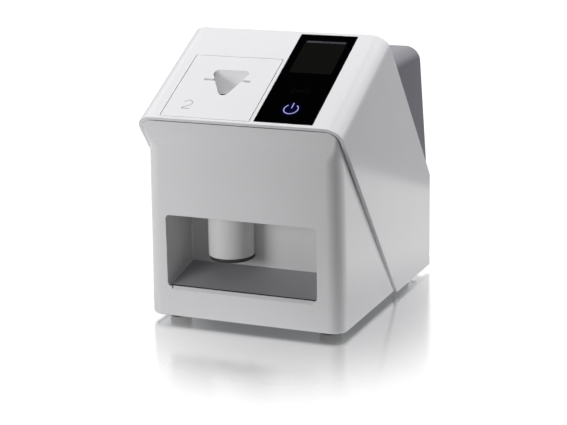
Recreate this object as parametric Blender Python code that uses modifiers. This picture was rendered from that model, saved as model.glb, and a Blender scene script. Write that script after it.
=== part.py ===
"""Phosphor plate scanner: a desktop reader for dental imaging plates.

Metres, +Z up, front towards -Y. The origin is on the table, under the middle of the hood's box.
A plate goes into the funnel in the sloping panel, is carried straight down past the turning
scan ring and the erasing lights, and drops into the bay at the front.
"""
from math import atan2, cos, hypot, pi, radians, sin

import bmesh
import bpy
from mathutils import Matrix, Vector

# Overall sizes of the hood
HOOD_WIDTH = 0.200
DEPTH = 0.2513
HEIGHT = 0.2604
FOOT_HEIGHT = 0.0054
LIP_DROP = 0.0638
RIDGE_SETBACK = 0.1228
BACK_CORNER_HEIGHT = 0.1000
RIM_FOOT_SETBACK = 0.1505
HOOD_WALL = 0.0040
HOOD_ROUND = 0.0165
HOOD_BACK_LAP = 0.0060

# Fits shared by all pieces
GAP = 0.0003
OVERRUN = 0.0100

# Front housing
FACE_SETBACK = 0.0101
HOUSING_TOP_INSET = 0.0050
HOUSING_FOOT_INSET = 0.0025
HOUSING_WALL = 0.0030
HOUSING_ROUND = 0.0140
HOUSING_TOP_DROP = 0.0036
COVE_HEIGHT = 0.0190
COVE_POWER = 1.6
CORNER_TONGUE = 0.0120
SILL_CHAMFER = 0.0030

# Output bay
BAY_LEFT = -0.0768
BAY_RIGHT = 0.0728
BAY_TOP_DROP = 0.0931
BAY_FRONT_SHARE = 0.336
BAY_BACK_SHARE = 0.442
BAY_DEPTH = 0.0534
BAY_CORNER = 0.0040
BAY_WALL = 0.0022

# Outlet chute that stands in the bay
PATH_X = -0.0300
PATH_SETBACK = 0.0526
CHUTE_RADIUS = 0.0215
CHUTE_WALL = 0.0020
CHUTE_END_SHARE = 0.570
CHUTE_FLANGE = 0.0040
CHUTE_FLANGE_THICK = 0.0022
RING_HEIGHT = 0.0035
RING_STEP = 0.0008
RING_WIDTH = 0.0030

# Rear cover and rear panel
COVER_INSET = 0.0032
COVER_DROP = 0.0264
COVER_TOP_SETBACK = 0.0250
COVER_WALL = 0.0025
COVER_ROUND = 0.0140
COVER_END_RISE = 0.0040
REAR_PANEL_THICK = 0.0025
REAR_PANEL_RISE = 0.0155
VENT_COUNT = 6
VENT_LENGTH = 0.0420
VENT_WIDTH = 0.0030
VENT_PITCH = 0.0065
VENT_FIRST_HEIGHT = 0.0520

# Base plate and feet
BASE_THICK = 0.0030
BASE_RISE = 0.0010
BASE_FRONT_MARGIN = 0.0045
BASE_SIDE_MARGIN = 0.0012
FOOT_RADIUS = 0.0100
FOOT_INSET = 0.0240
FOOT_FRONT_SETBACK = 0.0340
FOOT_BACK_MARGIN = 0.0273
BOSS_WIDTH = 0.0090
BOSS_LENGTH = 0.0120
BOSS_HEIGHT = 0.0200
BOSS_FRONT_SETBACK = 0.1700
BOSS_BACK_MARGIN = 0.0253

# Screws
SCREW_RADIUS = 0.0015
SCREW_HEAD_RADIUS = 0.0029
SCREW_HEAD_HEIGHT = 0.0012
SCREW_LENGTH = 0.0090
COVER_SCREW_X = 0.0600
COVER_SCREW_RISE = 0.0120

# Plate insert in the sloping panel
INSERT_LEFT = -0.0752
INSERT_RIGHT = 0.0127
INSERT_START = 0.0036
INSERT_END = 0.0945
INSERT_CLEARANCE = 0.0005
INSERT_CORNER = 0.0012
SEAT_MARGIN = 0.0012
SEAT_THICK = 0.0020
SEAT_HOLE_MARGIN = 0.0006
FUNNEL_PLACE = 0.0582
FUNNEL_HALF_WIDTH = 0.0120
FUNNEL_RISE = 0.0108
FUNNEL_FALL = 0.0152
FUNNEL_TIP_SHIFT = 0.0030
FUNNEL_ROUND = 0.0055
FUNNEL_DEPTH = 0.0135
FUNNEL_WALL = 0.0018
THROAT_HALF_WIDTH = 0.0150
THROAT_RISE = 0.0008
THROAT_FALL = 0.0012
THROAT_ROUND = 0.0024
SLOT_HALF_WIDTH = 0.0234
PASS_HALF_WIDTH = 0.0163
PASS_HALF_DEPTH = 0.0013
SLOT_WIDTH = 0.0030
SLOT_DEPTH = 0.0030

# Touch display in the sloping panel
GLASS_LEFT = 0.0170
GLASS_RIGHT = 0.0730
GLASS_START = 0.0041
GLASS_END = 0.1343
GLASS_THICK = 0.0018
GLASS_CORNER = 0.0008
SCREEN_LEFT = 0.0248
SCREEN_RIGHT = 0.0658
SCREEN_START = 0.0765
SCREEN_END = 0.1255
SCREEN_THICK = 0.0026
SCREEN_WINDOW_MARGIN = 0.0008
BOARD_THICK = 0.0016
DISPLAY_BOARD_MARGIN = 0.0040

# Scanner frame: deck over the bay, upright behind it
FRAME_THICK = 0.0025
DECK_LEFT = -0.0840
DECK_RIGHT = 0.0500
DECK_FRONT_SETBACK = 0.0150
UPRIGHT_SETBACK = 0.0925
UPRIGHT_DROP = 0.0066
UPRIGHT_FOOT = 0.0160
BOARD_BOSS_RADIUS = 0.0030
BOARD_BOSS_LENGTH = 0.0080

# Plate drive: side plates, rollers and belts
SIDE_PLATE_OFFSET = 0.0180
SIDE_PLATE_THICK = 0.0025
SIDE_PLATE_HALF_DEPTH = 0.0140
SIDE_PLATE_DROP = 0.0026
BEAM_WINDOW_HEIGHT = 0.0080
PLATE_SPACE = 0.0016
BELT_THICK = 0.0010
BELT_WIDTH = 0.0120
ROLLER_RADIUS = 0.0050
ROLLER_LENGTH = 0.0350
SHAFT_RADIUS = 0.0015
SHAFT_CLEARANCE = 0.0003
ROLLER_DROPS = {"lower": (0.0746, 0.0566), "upper": (0.0266, 0.0106)}

# Scan ring
SCAN_DROP = 0.0416
SCAN_HOUSING_RADIUS = 0.0375
SCAN_HOUSING_BORE = 0.0280
SCAN_HOUSING_WALL = 0.0025
SCAN_HOUSING_HEIGHT = 0.0150
SCAN_LEG_RADIUS = 0.0025
SCAN_LID_THICK = 0.0020
ROTOR_BORE = 0.0285
ROTOR_HEIGHT = 0.0100
PRISM_HOLE_RADIUS = 0.0020
WHEEL_RADIUS = 0.0050
WHEEL_HEIGHT = 0.0070
WHEEL_SHAFT_RADIUS = 0.0012
ROTOR_MOTOR_RADIUS = 0.0100
ROTOR_MOTOR_HEIGHT = 0.0300

# Erasing lights
ERASE_BORE = 0.0258
ERASE_RADIUS = 0.0290
ERASE_HEIGHT = 0.0045

# Laser, light detector and motor
LASER_WIDTH = 0.0180
LASER_LENGTH = 0.0380
BEAM_RADIUS = 0.0030
LASER_HEIGHT = 0.0140
DETECTOR_WIDTH = 0.0190
DETECTOR_LENGTH = 0.0440
DETECTOR_HEIGHT = 0.0440
DRIVE_MOTOR_RADIUS = 0.0090
DRIVE_MOTOR_LENGTH = 0.0280

# Infeed guide between the insert and the belts
GUIDE_HALF_WIDTH = 0.0205
GUIDE_HALF_DEPTH = 0.0100
GUIDE_HEIGHT = 0.0110
GUIDE_SLOT = 0.0060
GUIDE_SIDE = 0.0030

# Boards
MAIN_BOARD_MARGIN = 0.0020
MAIN_BOARD_BOTTOM = 0.0300
MAIN_BOARD_DROP = 0.0500
POWER_BOARD_LENGTH = 0.0700
POWER_BOARD_WIDTH = 0.0900
POWER_BOARD_X = -0.0350
POWER_BOARD_BACK_GAP = 0.0200
POWER_BOARD_RISE = 0.0060
BOARD_HOLE_MARGIN = 0.0050
TRANSFORMER_SIZE = 0.0300
TRANSFORMER_HEIGHT = 0.0260

# Fan behind the rear panel
FAN_X = -0.0550
FAN_HALF = 0.0250
FAN_DEPTH = 0.0120
FAN_BORE = 0.0225
FAN_HUB_RADIUS = 0.0090
FAN_POST_RADIUS = 0.0030
FAN_TIP_GAP = 0.0010
FAN_BLADE_THICK = 0.0012
FAN_BLADE_COUNT = 7
FAN_ARM_WIDTH = 0.0030
FAN_BLADE_TILT = radians(32)
FAN_ARM_THICK = 0.0015
FAN_HUB_LENGTH = 0.0080

# Sockets, button and card on the rear panel
SOCKET_HEIGHT = 0.0240
INLET_X = 0.0750
INLET_HALF = 0.0065
INLET_BORE = 0.0035
INLET_PIN = 0.0011
INLET_DEPTH = 0.0140
NETWORK_X = 0.0480
NETWORK_HALF = 0.0080
NETWORK_HEIGHT = 0.0135
NETWORK_DEPTH = 0.0160
NETWORK_WALL = 0.0012
CARD_X = 0.0120
CARD_HALF = 0.0120
CARD_THICK = 0.0021
CARD_LENGTH = 0.0320
CARD_PROUD = 0.0030
CARD_SOCKET_WALL = 0.0012
CARD_SOCKET_DEPTH = 0.0280
BUTTON_X = -0.0120
BUTTON_RADIUS = 0.0030
BUTTON_PROUD = 0.0020
BUTTON_TRAVEL = 0.0012
BUTTON_BODY_HALF = 0.0050
BUTTON_BODY_DEPTH = 0.0070

# Places worked out from the sizes above
HALF_WIDTH = HOOD_WIDTH / 2
LIP_HEIGHT = HEIGHT - LIP_DROP
LIP_Y = -DEPTH / 2
BACK_Y = DEPTH / 2
RIDGE_Y = LIP_Y + RIDGE_SETBACK
RIM_FOOT_Y = LIP_Y + RIM_FOOT_SETBACK
FACE_Y = LIP_Y + FACE_SETBACK
PATH_Y = LIP_Y + PATH_SETBACK
PANEL_ANGLE = atan2(HEIGHT - LIP_HEIGHT, RIDGE_SETBACK)
PANEL_LENGTH = hypot(HEIGHT - LIP_HEIGHT, RIDGE_SETBACK)
RIM_RUN = RIM_FOOT_SETBACK / (LIP_HEIGHT - FOOT_HEIGHT)
SLANT_RUN = (BACK_Y - RIDGE_Y) / (HEIGHT - BACK_CORNER_HEIGHT)
INNER_HALF = HALF_WIDTH - HOOD_WALL
HOUSING_HALF_TOP = HALF_WIDTH - HOUSING_TOP_INSET
HOUSING_HALF_FOOT = HALF_WIDTH - HOUSING_FOOT_INSET
COVER_HALF = HALF_WIDTH - COVER_INSET
COVER_TOP = HEIGHT - COVER_DROP
FOOT_X = HALF_WIDTH - FOOT_INSET
FOOT_BACK_SETBACK = DEPTH - FOOT_BACK_MARGIN
BOSS_BACK_SETBACK = DEPTH - BOSS_BACK_MARGIN
BASE_BOTTOM = FOOT_HEIGHT + BASE_RISE
BASE_TOP = BASE_BOTTOM + BASE_THICK
BAY_TOP = LIP_HEIGHT - BAY_TOP_DROP
BAY_FLOOR_FRONT = BAY_TOP * BAY_FRONT_SHARE
BAY_FLOOR_BACK = BAY_TOP * BAY_BACK_SHARE
CHUTE_END_HEIGHT = BAY_TOP * CHUTE_END_SHARE
BAY_FRONT_Y = FACE_Y + HOUSING_WALL + GAP
BAY_BACK_Y = FACE_Y + BAY_DEPTH
CHUTE_FLANGE_BOTTOM = BAY_TOP + BAY_WALL + GAP
DECK_BOTTOM = CHUTE_FLANGE_BOTTOM + CHUTE_FLANGE_THICK + GAP
DECK_TOP = DECK_BOTTOM + FRAME_THICK
UPRIGHT_Y = LIP_Y + UPRIGHT_SETBACK
UPRIGHT_HEIGHT = LIP_HEIGHT - UPRIGHT_DROP
MAIN_BOARD_WIDTH = DECK_RIGHT - DECK_LEFT - 2 * MAIN_BOARD_MARGIN
MAIN_BOARD_X = (DECK_RIGHT + DECK_LEFT) / 2
MAIN_BOARD_TOP = UPRIGHT_HEIGHT - MAIN_BOARD_DROP
SIDE_PLATE_TOP = LIP_HEIGHT - SIDE_PLATE_DROP
SCAN_HEIGHT = LIP_HEIGHT - SCAN_DROP
BELT_OFFSET = PLATE_SPACE + BELT_THICK + GAP + ROLLER_RADIUS
ROTOR_RADIUS = SCAN_HOUSING_RADIUS - SCAN_HOUSING_WALL - GAP
SCAN_HOUSING_BOTTOM = SCAN_HEIGHT - ROTOR_HEIGHT / 2 - GAP - SCAN_HOUSING_WALL
WHEEL_X = PATH_X + ROTOR_RADIUS + GAP + WHEEL_RADIUS
THROAT_PLACE = (PATH_SETBACK - FUNNEL_DEPTH * sin(PANEL_ANGLE)) / cos(PANEL_ANGLE)
COVER_LEAN = COVER_TOP_SETBACK / (COVER_TOP - BACK_CORNER_HEIGHT)
REAR_PANEL_TOP = BACK_CORNER_HEIGHT + REAR_PANEL_RISE
REAR_PANEL_BACK = (BACK_Y - COVER_LEAN * REAR_PANEL_RISE - COVER_WALL * hypot(1, COVER_LEAN)
                   - GAP)
REAR_PANEL_FRONT = REAR_PANEL_BACK - REAR_PANEL_THICK
POWER_BOARD_Y = REAR_PANEL_FRONT - POWER_BOARD_BACK_GAP - POWER_BOARD_LENGTH
FAN_HEIGHT = VENT_FIRST_HEIGHT + (VENT_COUNT - 1) / 2 * VENT_PITCH

SEGMENTS = 32
SMALL_SEGMENTS = 16
SHADE_ANGLE = radians(35)

for old in list(bpy.data.objects):
    bpy.data.objects.remove(old, do_unlink=True)

parts = bpy.data.collections.new("phosphor_plate_scanner")
cutters = bpy.data.collections.new("cutters")
guides = bpy.data.collections.new("guides")
for group in (parts, cutters, guides):
    bpy.context.scene.collection.children.link(group)


def material(name, colour, roughness, metallic=0.0):
    """A Principled material with one colour, roughness and metallic value."""
    made = bpy.data.materials.new(name)
    made.use_nodes = True
    shader = made.node_tree.nodes["Principled BSDF"]
    shader.inputs["Base Color"].default_value = (*colour, 1.0)
    shader.inputs["Roughness"].default_value = roughness
    shader.inputs["Metallic"].default_value = metallic
    made.diffuse_color = (*colour, 1.0)
    return made


WHITE = material("gloss_white_abs", (0.86, 0.86, 0.87), 0.22)
BAY_GREY = material("satin_grey_abs", (0.36, 0.36, 0.37), 0.45)
CHUTE_GREY = material("light_grey_abs", (0.42, 0.42, 0.42), 0.40)
COVER_GREY = material("slate_grey_abs", (0.15, 0.15, 0.17), 0.35)
GLASS = material("black_glass", (0.004, 0.004, 0.005), 0.05)
SCREEN = material("display_black", (0.01, 0.01, 0.01), 0.30)
RUBBER = material("black_rubber", (0.02, 0.02, 0.02), 0.85)
STEEL = material("bright_steel", (0.62, 0.62, 0.63), 0.30, 1.0)
ALUMINIUM = material("mill_aluminium", (0.70, 0.70, 0.72), 0.35, 1.0)
ZINC = material("zinc_plated_sheet", (0.55, 0.56, 0.58), 0.40, 1.0)
BLACK = material("black_nylon", (0.03, 0.03, 0.03), 0.55)
BOARD = material("green_board", (0.02, 0.12, 0.05), 0.45)
BLUE = material("blue_card", (0.03, 0.08, 0.25), 0.40)


def add(name, mesh, finish, location=(0, 0, 0), group=parts):
    """Put a mesh in the scene as one named object."""
    made = bpy.data.objects.new(name, mesh)
    made.location = location
    group.objects.link(made)
    if group is parts:
        mesh.materials.append(finish)
    else:
        made.hide_render = True
        made.display_type = "WIRE"
    return made


def finish_mesh(bm, name, smooth=True):
    """Write a bmesh to a mesh with its normals out, round faces smooth."""
    bmesh.ops.recalc_face_normals(bm, faces=bm.faces)
    mesh = bpy.data.meshes.new(name)
    bm.to_mesh(mesh)
    bm.free()
    if smooth:
        mesh.shade_smooth()
        mesh.set_sharp_from_angle(angle=SHADE_ANGLE)
    return mesh


def box(name, low, high, finish=None, group=parts):
    """A block between two corners, with its origin at its middle."""
    low, high = Vector(low), Vector(high)
    bm = bmesh.new()
    bmesh.ops.create_cube(bm, size=1)
    bmesh.ops.scale(bm, vec=high - low, verts=bm.verts)
    return add(name, finish_mesh(bm, name, smooth=False), finish, (low + high) / 2, group)


def rod(name, radius, start, length, axis="Z", finish=None, group=parts, sides=SMALL_SEGMENTS):
    """A cylinder that runs from start along an axis, with its origin at start."""
    bm = bmesh.new()
    bmesh.ops.create_cone(bm, cap_ends=True, segments=sides, radius1=radius, radius2=radius,
                          depth=length)
    bmesh.ops.translate(bm, vec=(0, 0, length / 2), verts=bm.verts)
    turn = {"X": Matrix.Rotation(pi / 2, 3, "Y"), "Y": Matrix.Rotation(-pi / 2, 3, "X"),
            "Z": Matrix.Identity(3)}[axis]
    bmesh.ops.rotate(bm, cent=(0, 0, 0), matrix=turn, verts=bm.verts)
    return add(name, finish_mesh(bm, name), finish, start, group)


def turned(name, profile, location, finish=None, group=parts, sides=SEGMENTS):
    """A profile of (radius, height) points turned about Z, closed unless it ends on the axis."""
    bm = bmesh.new()
    ring = [bm.verts.new((radius, 0, height)) for radius, height in profile]
    for first, second in zip(ring, ring[1:]):
        bm.edges.new((first, second))
    if profile[0][0] > 0:
        bm.edges.new((ring[-1], ring[0]))
    mesh = bpy.data.meshes.new(name)
    bm.to_mesh(mesh)
    bm.free()
    made = add(name, mesh, finish, location, group)
    screw = made.modifiers.new("turn", "SCREW")
    screw.steps = sides
    screw.render_steps = sides
    screw.use_merge_vertices = True
    screw.merge_threshold = GAP / 10
    screw.use_smooth_shade = True
    return made


def tube(name, bore, radius, bottom, height, location, finish=None, group=parts, sides=SEGMENTS):
    """A plain ring: its profile runs down the outer side first."""
    profile = ((radius, bottom + height), (radius, bottom), (bore, bottom), (bore, bottom + height))
    return turned(name, profile, location, finish, group, sides)


def outline_solid(name, points, thickness, finish=None, group=parts):
    """A flat outline in XY, thickness along Z about zero, as a closed mesh."""
    curve = bpy.data.curves.new(name, "CURVE")
    curve.dimensions = "2D"
    curve.fill_mode = "BOTH"
    curve.extrude = thickness / 2
    spline = curve.splines.new("POLY")
    spline.points.add(len(points) - 1)
    for slot, (across, along) in zip(spline.points, points):
        slot.co = (across, along, 0, 1)
    spline.use_cyclic_u = True
    drawn = bpy.data.objects.new(name + "_outline", curve)
    bpy.context.scene.collection.objects.link(drawn)
    bpy.context.view_layer.update()
    evaluated = drawn.evaluated_get(bpy.context.evaluated_depsgraph_get())
    raw = bpy.data.meshes.new_from_object(evaluated)
    bm = bmesh.new()
    bm.from_mesh(raw)
    bmesh.ops.remove_doubles(bm, verts=bm.verts, dist=GAP / 10)
    bmesh.ops.dissolve_limit(bm, angle_limit=radians(0.1), verts=bm.verts, edges=bm.edges)
    bpy.data.objects.remove(drawn, do_unlink=True)
    bpy.data.meshes.remove(raw)
    return add(name, finish_mesh(bm, name, smooth=False), finish, (0, 0, 0), group)


def side_prism(name, points, half_width, finish=None, group=parts):
    """A side outline of (y, z) points, as wide as twice half_width along X."""
    made = outline_solid(name, points, 2 * half_width, finish, group)
    # X of the outline becomes Y, its Y becomes Z, and its thickness runs along X
    upright = Matrix(((0, 0, 1), (1, 0, 0), (0, 1, 0))).to_4x4()
    made.data.transform(upright)
    return made


def rounded(corners, radius, steps):
    """The outline at one distance round a convex run of corner centres, anticlockwise."""
    points = []
    count = len(corners)
    for index, corner in enumerate(corners):
        before = Vector(corner) - Vector(corners[index - 1])
        after = Vector(corners[(index + 1) % count]) - Vector(corner)
        start = atan2(before.y, before.x) - pi / 2
        sweep = (atan2(after.y, after.x) - pi / 2 - start) % (2 * pi)
        for step in range(steps + 1):
            turn = start + sweep * step / steps
            points.append((corner[0] + radius * cos(turn), corner[1] + radius * sin(turn)))
    return points


def rounded_box(left, right, low, high, radius, steps=4):
    """Corner-rounded rectangle between two sides and two ends."""
    centres = ((left + radius, low + radius), (right - radius, low + radius),
               (right - radius, high - radius), (left + radius, high - radius))
    return rounded(centres, radius, steps)


def loft(name, rings, finish=None, group=parts):
    """A closed solid through two or more rings of as many points each, lowest first."""
    bm = bmesh.new()
    loops = [[bm.verts.new(point) for point in ring] for ring in rings]
    bm.faces.new(loops[0])
    bm.faces.new(loops[-1])
    count = len(loops[0])
    for lower, upper in zip(loops, loops[1:]):
        for index in range(count):
            following = (index + 1) % count
            bm.faces.new((lower[index], lower[following], upper[following], upper[index]))
    return add(name, finish_mesh(bm, name), finish, (0, 0, 0), group)


def round_edges(made, radius, steps, chosen):
    """A Bevel modifier on the edges that chosen(start, end) accepts."""
    bm = bmesh.new()
    bm.from_mesh(made.data)
    weights = bm.edges.layers.float.new("bevel_weight_edge")
    for edge in bm.edges:
        if chosen(edge.verts[0].co, edge.verts[1].co):
            edge[weights] = 1.0
    bm.to_mesh(made.data)
    bm.free()
    bevel = made.modifiers.new("round", "BEVEL")
    bevel.width = radius
    bevel.segments = steps
    bevel.limit_method = "WEIGHT"
    return made


def cut(made, cutter):
    """Take one closed shape out of another."""
    step = made.modifiers.new("cut " + cutter.name, "BOOLEAN")
    step.operation = "DIFFERENCE"
    step.solver = "EXACT"
    step.object = cutter
    return made


def join(made, extra):
    """Fuse a hidden shape into its carrier."""
    step = made.modifiers.new("join " + extra.name, "BOOLEAN")
    step.operation = "UNION"
    step.solver = "EXACT"
    step.object = extra
    return made


def on_panel(made):
    """Give a piece the sloping panel's frame: Y runs up the slope, Z out of it."""
    made.parent = panel_frame
    return made


def rim_y(height, ahead=0.0):
    """Y of the hood's slanting front rim at a height, or of a plane ahead of it."""
    return RIM_FOOT_Y - (height - FOOT_HEIGHT) * RIM_RUN - ahead * hypot(1, RIM_RUN)


def slant_y(height, behind=0.0):
    """Y of the hood's slanting back edge at a height, or of a plane behind it."""
    return BACK_Y - (height - BACK_CORNER_HEIGHT) * SLANT_RUN + behind * hypot(1, SLANT_RUN)


def cover_back_y(height, inset=0.0):
    """Y of the rear cover's leaning back at a height, or of a plane inside it."""
    return BACK_Y - COVER_LEAN * (height - BACK_CORNER_HEIGHT) - inset * hypot(1, COVER_LEAN)


def panel_z(place_y, below=0.0):
    """Height of the sloping panel, or of a plane below it, over a place."""
    rise = (place_y - LIP_Y) * sin(PANEL_ANGLE) / cos(PANEL_ANGLE)
    return LIP_HEIGHT + rise - below / cos(PANEL_ANGLE)


panel_frame = bpy.data.objects.new("panel_frame", None)
panel_frame.location = (0, LIP_Y, LIP_HEIGHT)
panel_frame.rotation_euler = (PANEL_ANGLE, 0, 0)
guides.objects.link(panel_frame)


def make_hood():
    """The white hood: sloping panel and two sides, open at the front rim, back and bottom."""
    outer = ((LIP_Y, LIP_HEIGHT), (RIM_FOOT_Y, FOOT_HEIGHT), (BACK_Y, FOOT_HEIGHT),
             (BACK_Y, BACK_CORNER_HEIGHT), (RIDGE_Y, HEIGHT))
    hood = side_prism("hood", outer, HALF_WIDTH, WHITE)
    middle = (LIP_HEIGHT + FOOT_HEIGHT) / 2

    def along_panel(start, end):
        return min(start.z, end.z) > middle and abs(start.x - end.x) < GAP and \
            abs(start.x) > INNER_HALF and abs((end - start).length - PANEL_LENGTH) < GAP

    round_edges(hood, HOOD_ROUND, 8, along_panel)
    front, back = LIP_Y - OVERRUN, BACK_Y + OVERRUN
    wall_end = COVER_TOP - HOOD_BACK_LAP
    slope = sin(PANEL_ANGLE) / cos(PANEL_ANGLE)
    # The ridge inside the walls: where the planes under the panel and the slant meet
    start_y, start_z = slant_y(wall_end, -HOOD_WALL), wall_end
    climb = (panel_z(start_y, HOOD_WALL) - start_z) / (1 + slope * SLANT_RUN)
    ridge = (start_y - climb * SLANT_RUN, start_z + climb)
    inner = ((front, panel_z(front, HOOD_WALL)), (front, -OVERRUN), (back, -OVERRUN),
             (back, wall_end), (start_y, start_z), ridge)
    hollow = side_prism("hood_hollow", inner, INNER_HALF, group=cutters)

    def under_panel(start, end):
        rising = abs(start.x - end.x) < GAP and (end - start).length > PANEL_LENGTH / 2
        return rising and max(start.z, end.z) > ridge[1] - GAP

    round_edges(hollow, HOOD_ROUND - HOOD_WALL, 8, under_panel)
    cut(hood, hollow)

    pocket = outline_solid("insert_pocket", rounded_box(
        INSERT_LEFT - INSERT_CLEARANCE, INSERT_RIGHT + INSERT_CLEARANCE,
        INSERT_START - INSERT_CLEARANCE, INSERT_END + INSERT_CLEARANCE,
        INSERT_CORNER + INSERT_CLEARANCE), 2 * OVERRUN, group=cutters)
    cut(hood, on_panel(pocket))
    glass_bed = outline_solid("glass_bed", rounded_box(
        GLASS_LEFT - GAP, GLASS_RIGHT + GAP, GLASS_START - GAP, GLASS_END + GAP,
        GLASS_CORNER + GAP), 2 * (GLASS_THICK + GAP), group=cutters)
    cut(hood, on_panel(glass_bed))
    window = outline_solid("screen_window", rounded_box(
        SCREEN_LEFT - SCREEN_WINDOW_MARGIN, SCREEN_RIGHT + SCREEN_WINDOW_MARGIN,
        SCREEN_START - SCREEN_WINDOW_MARGIN, SCREEN_END + SCREEN_WINDOW_MARGIN,
        SCREEN_WINDOW_MARGIN), 2 * OVERRUN, group=cutters)
    cut(hood, on_panel(window))

    for side in (-1, 1):
        for place, setback in (("front", BOSS_FRONT_SETBACK), ("back", BOSS_BACK_SETBACK)):
            outer_x, inner_x = INNER_HALF + HOOD_WALL / 2, INNER_HALF - BOSS_WIDTH
            middle_y = LIP_Y + setback
            label = f"hood_boss_{place}_{'left' if side < 0 else 'right'}"
            block = box(label, (min(side * outer_x, side * inner_x), middle_y - BOSS_LENGTH / 2,
                                BASE_TOP + GAP),
                        (max(side * outer_x, side * inner_x), middle_y + BOSS_LENGTH / 2,
                         BASE_TOP + GAP + BOSS_HEIGHT), group=cutters)
            join(hood, block)
    return hood


def housing_ring(level, inset=0.0):
    """The housing's plan at a height: round front corners, sides that lean in, cove on top."""
    top_z = LIP_HEIGHT - HOUSING_TOP_DROP
    share = (level - FOOT_HEIGHT) / (top_z - FOOT_HEIGHT)
    half = HOUSING_HALF_FOOT + (HOUSING_HALF_TOP - HOUSING_HALF_FOOT) * share - inset
    rise = max(0, level - (top_z - COVE_HEIGHT)) / COVE_HEIGHT
    flare = FACE_Y - rim_y(top_z, GAP)
    front = FACE_Y + inset - flare * rise ** COVE_POWER
    radius = HOUSING_ROUND - inset
    back = RIM_FOOT_Y + OVERRUN
    corners = rounded(((-half + radius, front + radius), (half - radius, front + radius)),
                      radius, 12)
    # The first and last quarter of that stadium are its front; straight sides close it behind
    front_run = [point for point in corners if point[1] <= front + radius + GAP / 10]
    front_run.sort(key=lambda point: point[0])
    return [(x, y, level) for x, y in front_run] + [(half, back, level), (-half, back, level)]


def make_front_housing():
    """The white front housing: plain face, cove under the lip, opening of the bay."""
    top_z = LIP_HEIGHT - HOUSING_TOP_DROP
    cove_foot = top_z - COVE_HEIGHT
    steps = 6
    levels = [FOOT_HEIGHT] + [cove_foot + COVE_HEIGHT * step / steps
                              for step in range(steps + 1)]
    housing = loft("front_housing", [housing_ring(level) for level in levels], WHITE)
    # Above this height the housing tucks in under the hood's round lip, and its two
    # corners reach back inside the hood, clear of the insert's seat and the display
    tuck = top_z - 2 * COVE_HEIGHT
    over, far = top_z + 2 * OVERRUN, BACK_Y
    behind = side_prism("behind_corners", (
        (rim_y(-OVERRUN, GAP), -OVERRUN), (far, -OVERRUN), (far, over),
        (rim_y(over, -CORNER_TONGUE), over), (rim_y(tuck, -CORNER_TONGUE), tuck),
        (rim_y(tuck, GAP), tuck)), HALF_WIDTH + OVERRUN, group=cutters)
    cut(housing, behind)
    middle = side_prism("behind_rim", (
        (rim_y(-OVERRUN, GAP), -OVERRUN), (far, -OVERRUN), (far, over),
        (rim_y(over, GAP), over)), -INSERT_LEFT + 2 * SEAT_MARGIN, group=cutters)
    cut(housing, middle)
    front, back = LIP_Y - OVERRUN, RIM_FOOT_Y + OVERRUN
    under = ((front, panel_z(front, HOOD_WALL + GAP)), (front, tuck - OVERRUN),
             (back, tuck - OVERRUN), (back, panel_z(back, HOOD_WALL + GAP)))
    room = side_prism("lip_room", under, INNER_HALF - GAP, group=cutters)

    def under_lip(start, end):
        rising = abs(start.x - end.x) < GAP and abs(end.y - start.y) > HOUSING_ROUND
        return rising and max(start.z, end.z) > top_z

    round_edges(room, HOOD_ROUND - HOOD_WALL - GAP, 8, under_lip)
    trim = box("lip_trim", (-HALF_WIDTH - OVERRUN, front + OVERRUN / 2, tuck),
               (HALF_WIDTH + OVERRUN, back - OVERRUN / 2, HEIGHT + OVERRUN), group=cutters)
    cut(trim, room)
    cut(housing, trim)
    inside = [housing_ring(level, HOUSING_WALL) for level in (FOOT_HEIGHT, cove_foot)]
    inside[0] = [(x, y, level - OVERRUN) for x, y, level in inside[0]]
    cut(housing, loft("housing_hollow", inside, group=cutters))

    opening = outline_solid("bay_opening", rounded_box(
        BAY_LEFT, BAY_RIGHT, BAY_FLOOR_FRONT, BAY_TOP, BAY_CORNER), 4 * HOUSING_WALL,
        group=cutters)
    opening.rotation_euler = (pi / 2, 0, 0)
    opening.location = (0, FACE_Y, 0)
    cut(housing, opening)
    sill = side_prism("sill_chamfer", (
        (FACE_Y - OVERRUN, BAY_FLOOR_FRONT - SILL_CHAMFER - OVERRUN),
        (FACE_Y - OVERRUN, BAY_FLOOR_FRONT + GAP),
        (FACE_Y + SILL_CHAMFER / 2, BAY_FLOOR_FRONT + GAP),
        (FACE_Y, BAY_FLOOR_FRONT - SILL_CHAMFER),
        ), (BAY_RIGHT - BAY_LEFT) / 2 - BAY_CORNER, group=cutters)
    sill.location.x = (BAY_RIGHT + BAY_LEFT) / 2
    cut(housing, sill)
    return housing


def make_bay():
    """The grey liner of the output bay, with its floor falling to the front."""
    front, back = BAY_FRONT_Y, BAY_BACK_Y + BAY_WALL
    outer = ((front, BAY_FLOOR_FRONT - BAY_WALL), (back, BAY_FLOOR_BACK - BAY_WALL),
             (back, BAY_TOP + BAY_WALL), (front, BAY_TOP + BAY_WALL))
    width = (BAY_RIGHT - BAY_LEFT) / 2
    middle = (BAY_RIGHT + BAY_LEFT) / 2
    bay = side_prism("output_bay", outer, width + BAY_WALL, BAY_GREY)
    bay.location.x = middle
    fall = (BAY_FLOOR_BACK - BAY_FLOOR_FRONT) / (BAY_BACK_Y - front)
    mouth = front - OVERRUN
    inner = ((mouth, BAY_FLOOR_FRONT - fall * OVERRUN), (BAY_BACK_Y, BAY_FLOOR_BACK),
             (BAY_BACK_Y, BAY_TOP), (mouth, BAY_TOP))
    hollow = side_prism("bay_hollow", inner, width, group=cutters)
    hollow.location.x = middle
    cut(bay, hollow)
    chute_low = CHUTE_END_HEIGHT - RING_HEIGHT - 2 * GAP
    hole = rod("chute_hole", CHUTE_RADIUS + GAP, (PATH_X, PATH_Y, chute_low),
               BAY_TOP + OVERRUN - chute_low, group=cutters, sides=SEGMENTS)
    cut(bay, hole)
    return bay


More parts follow.
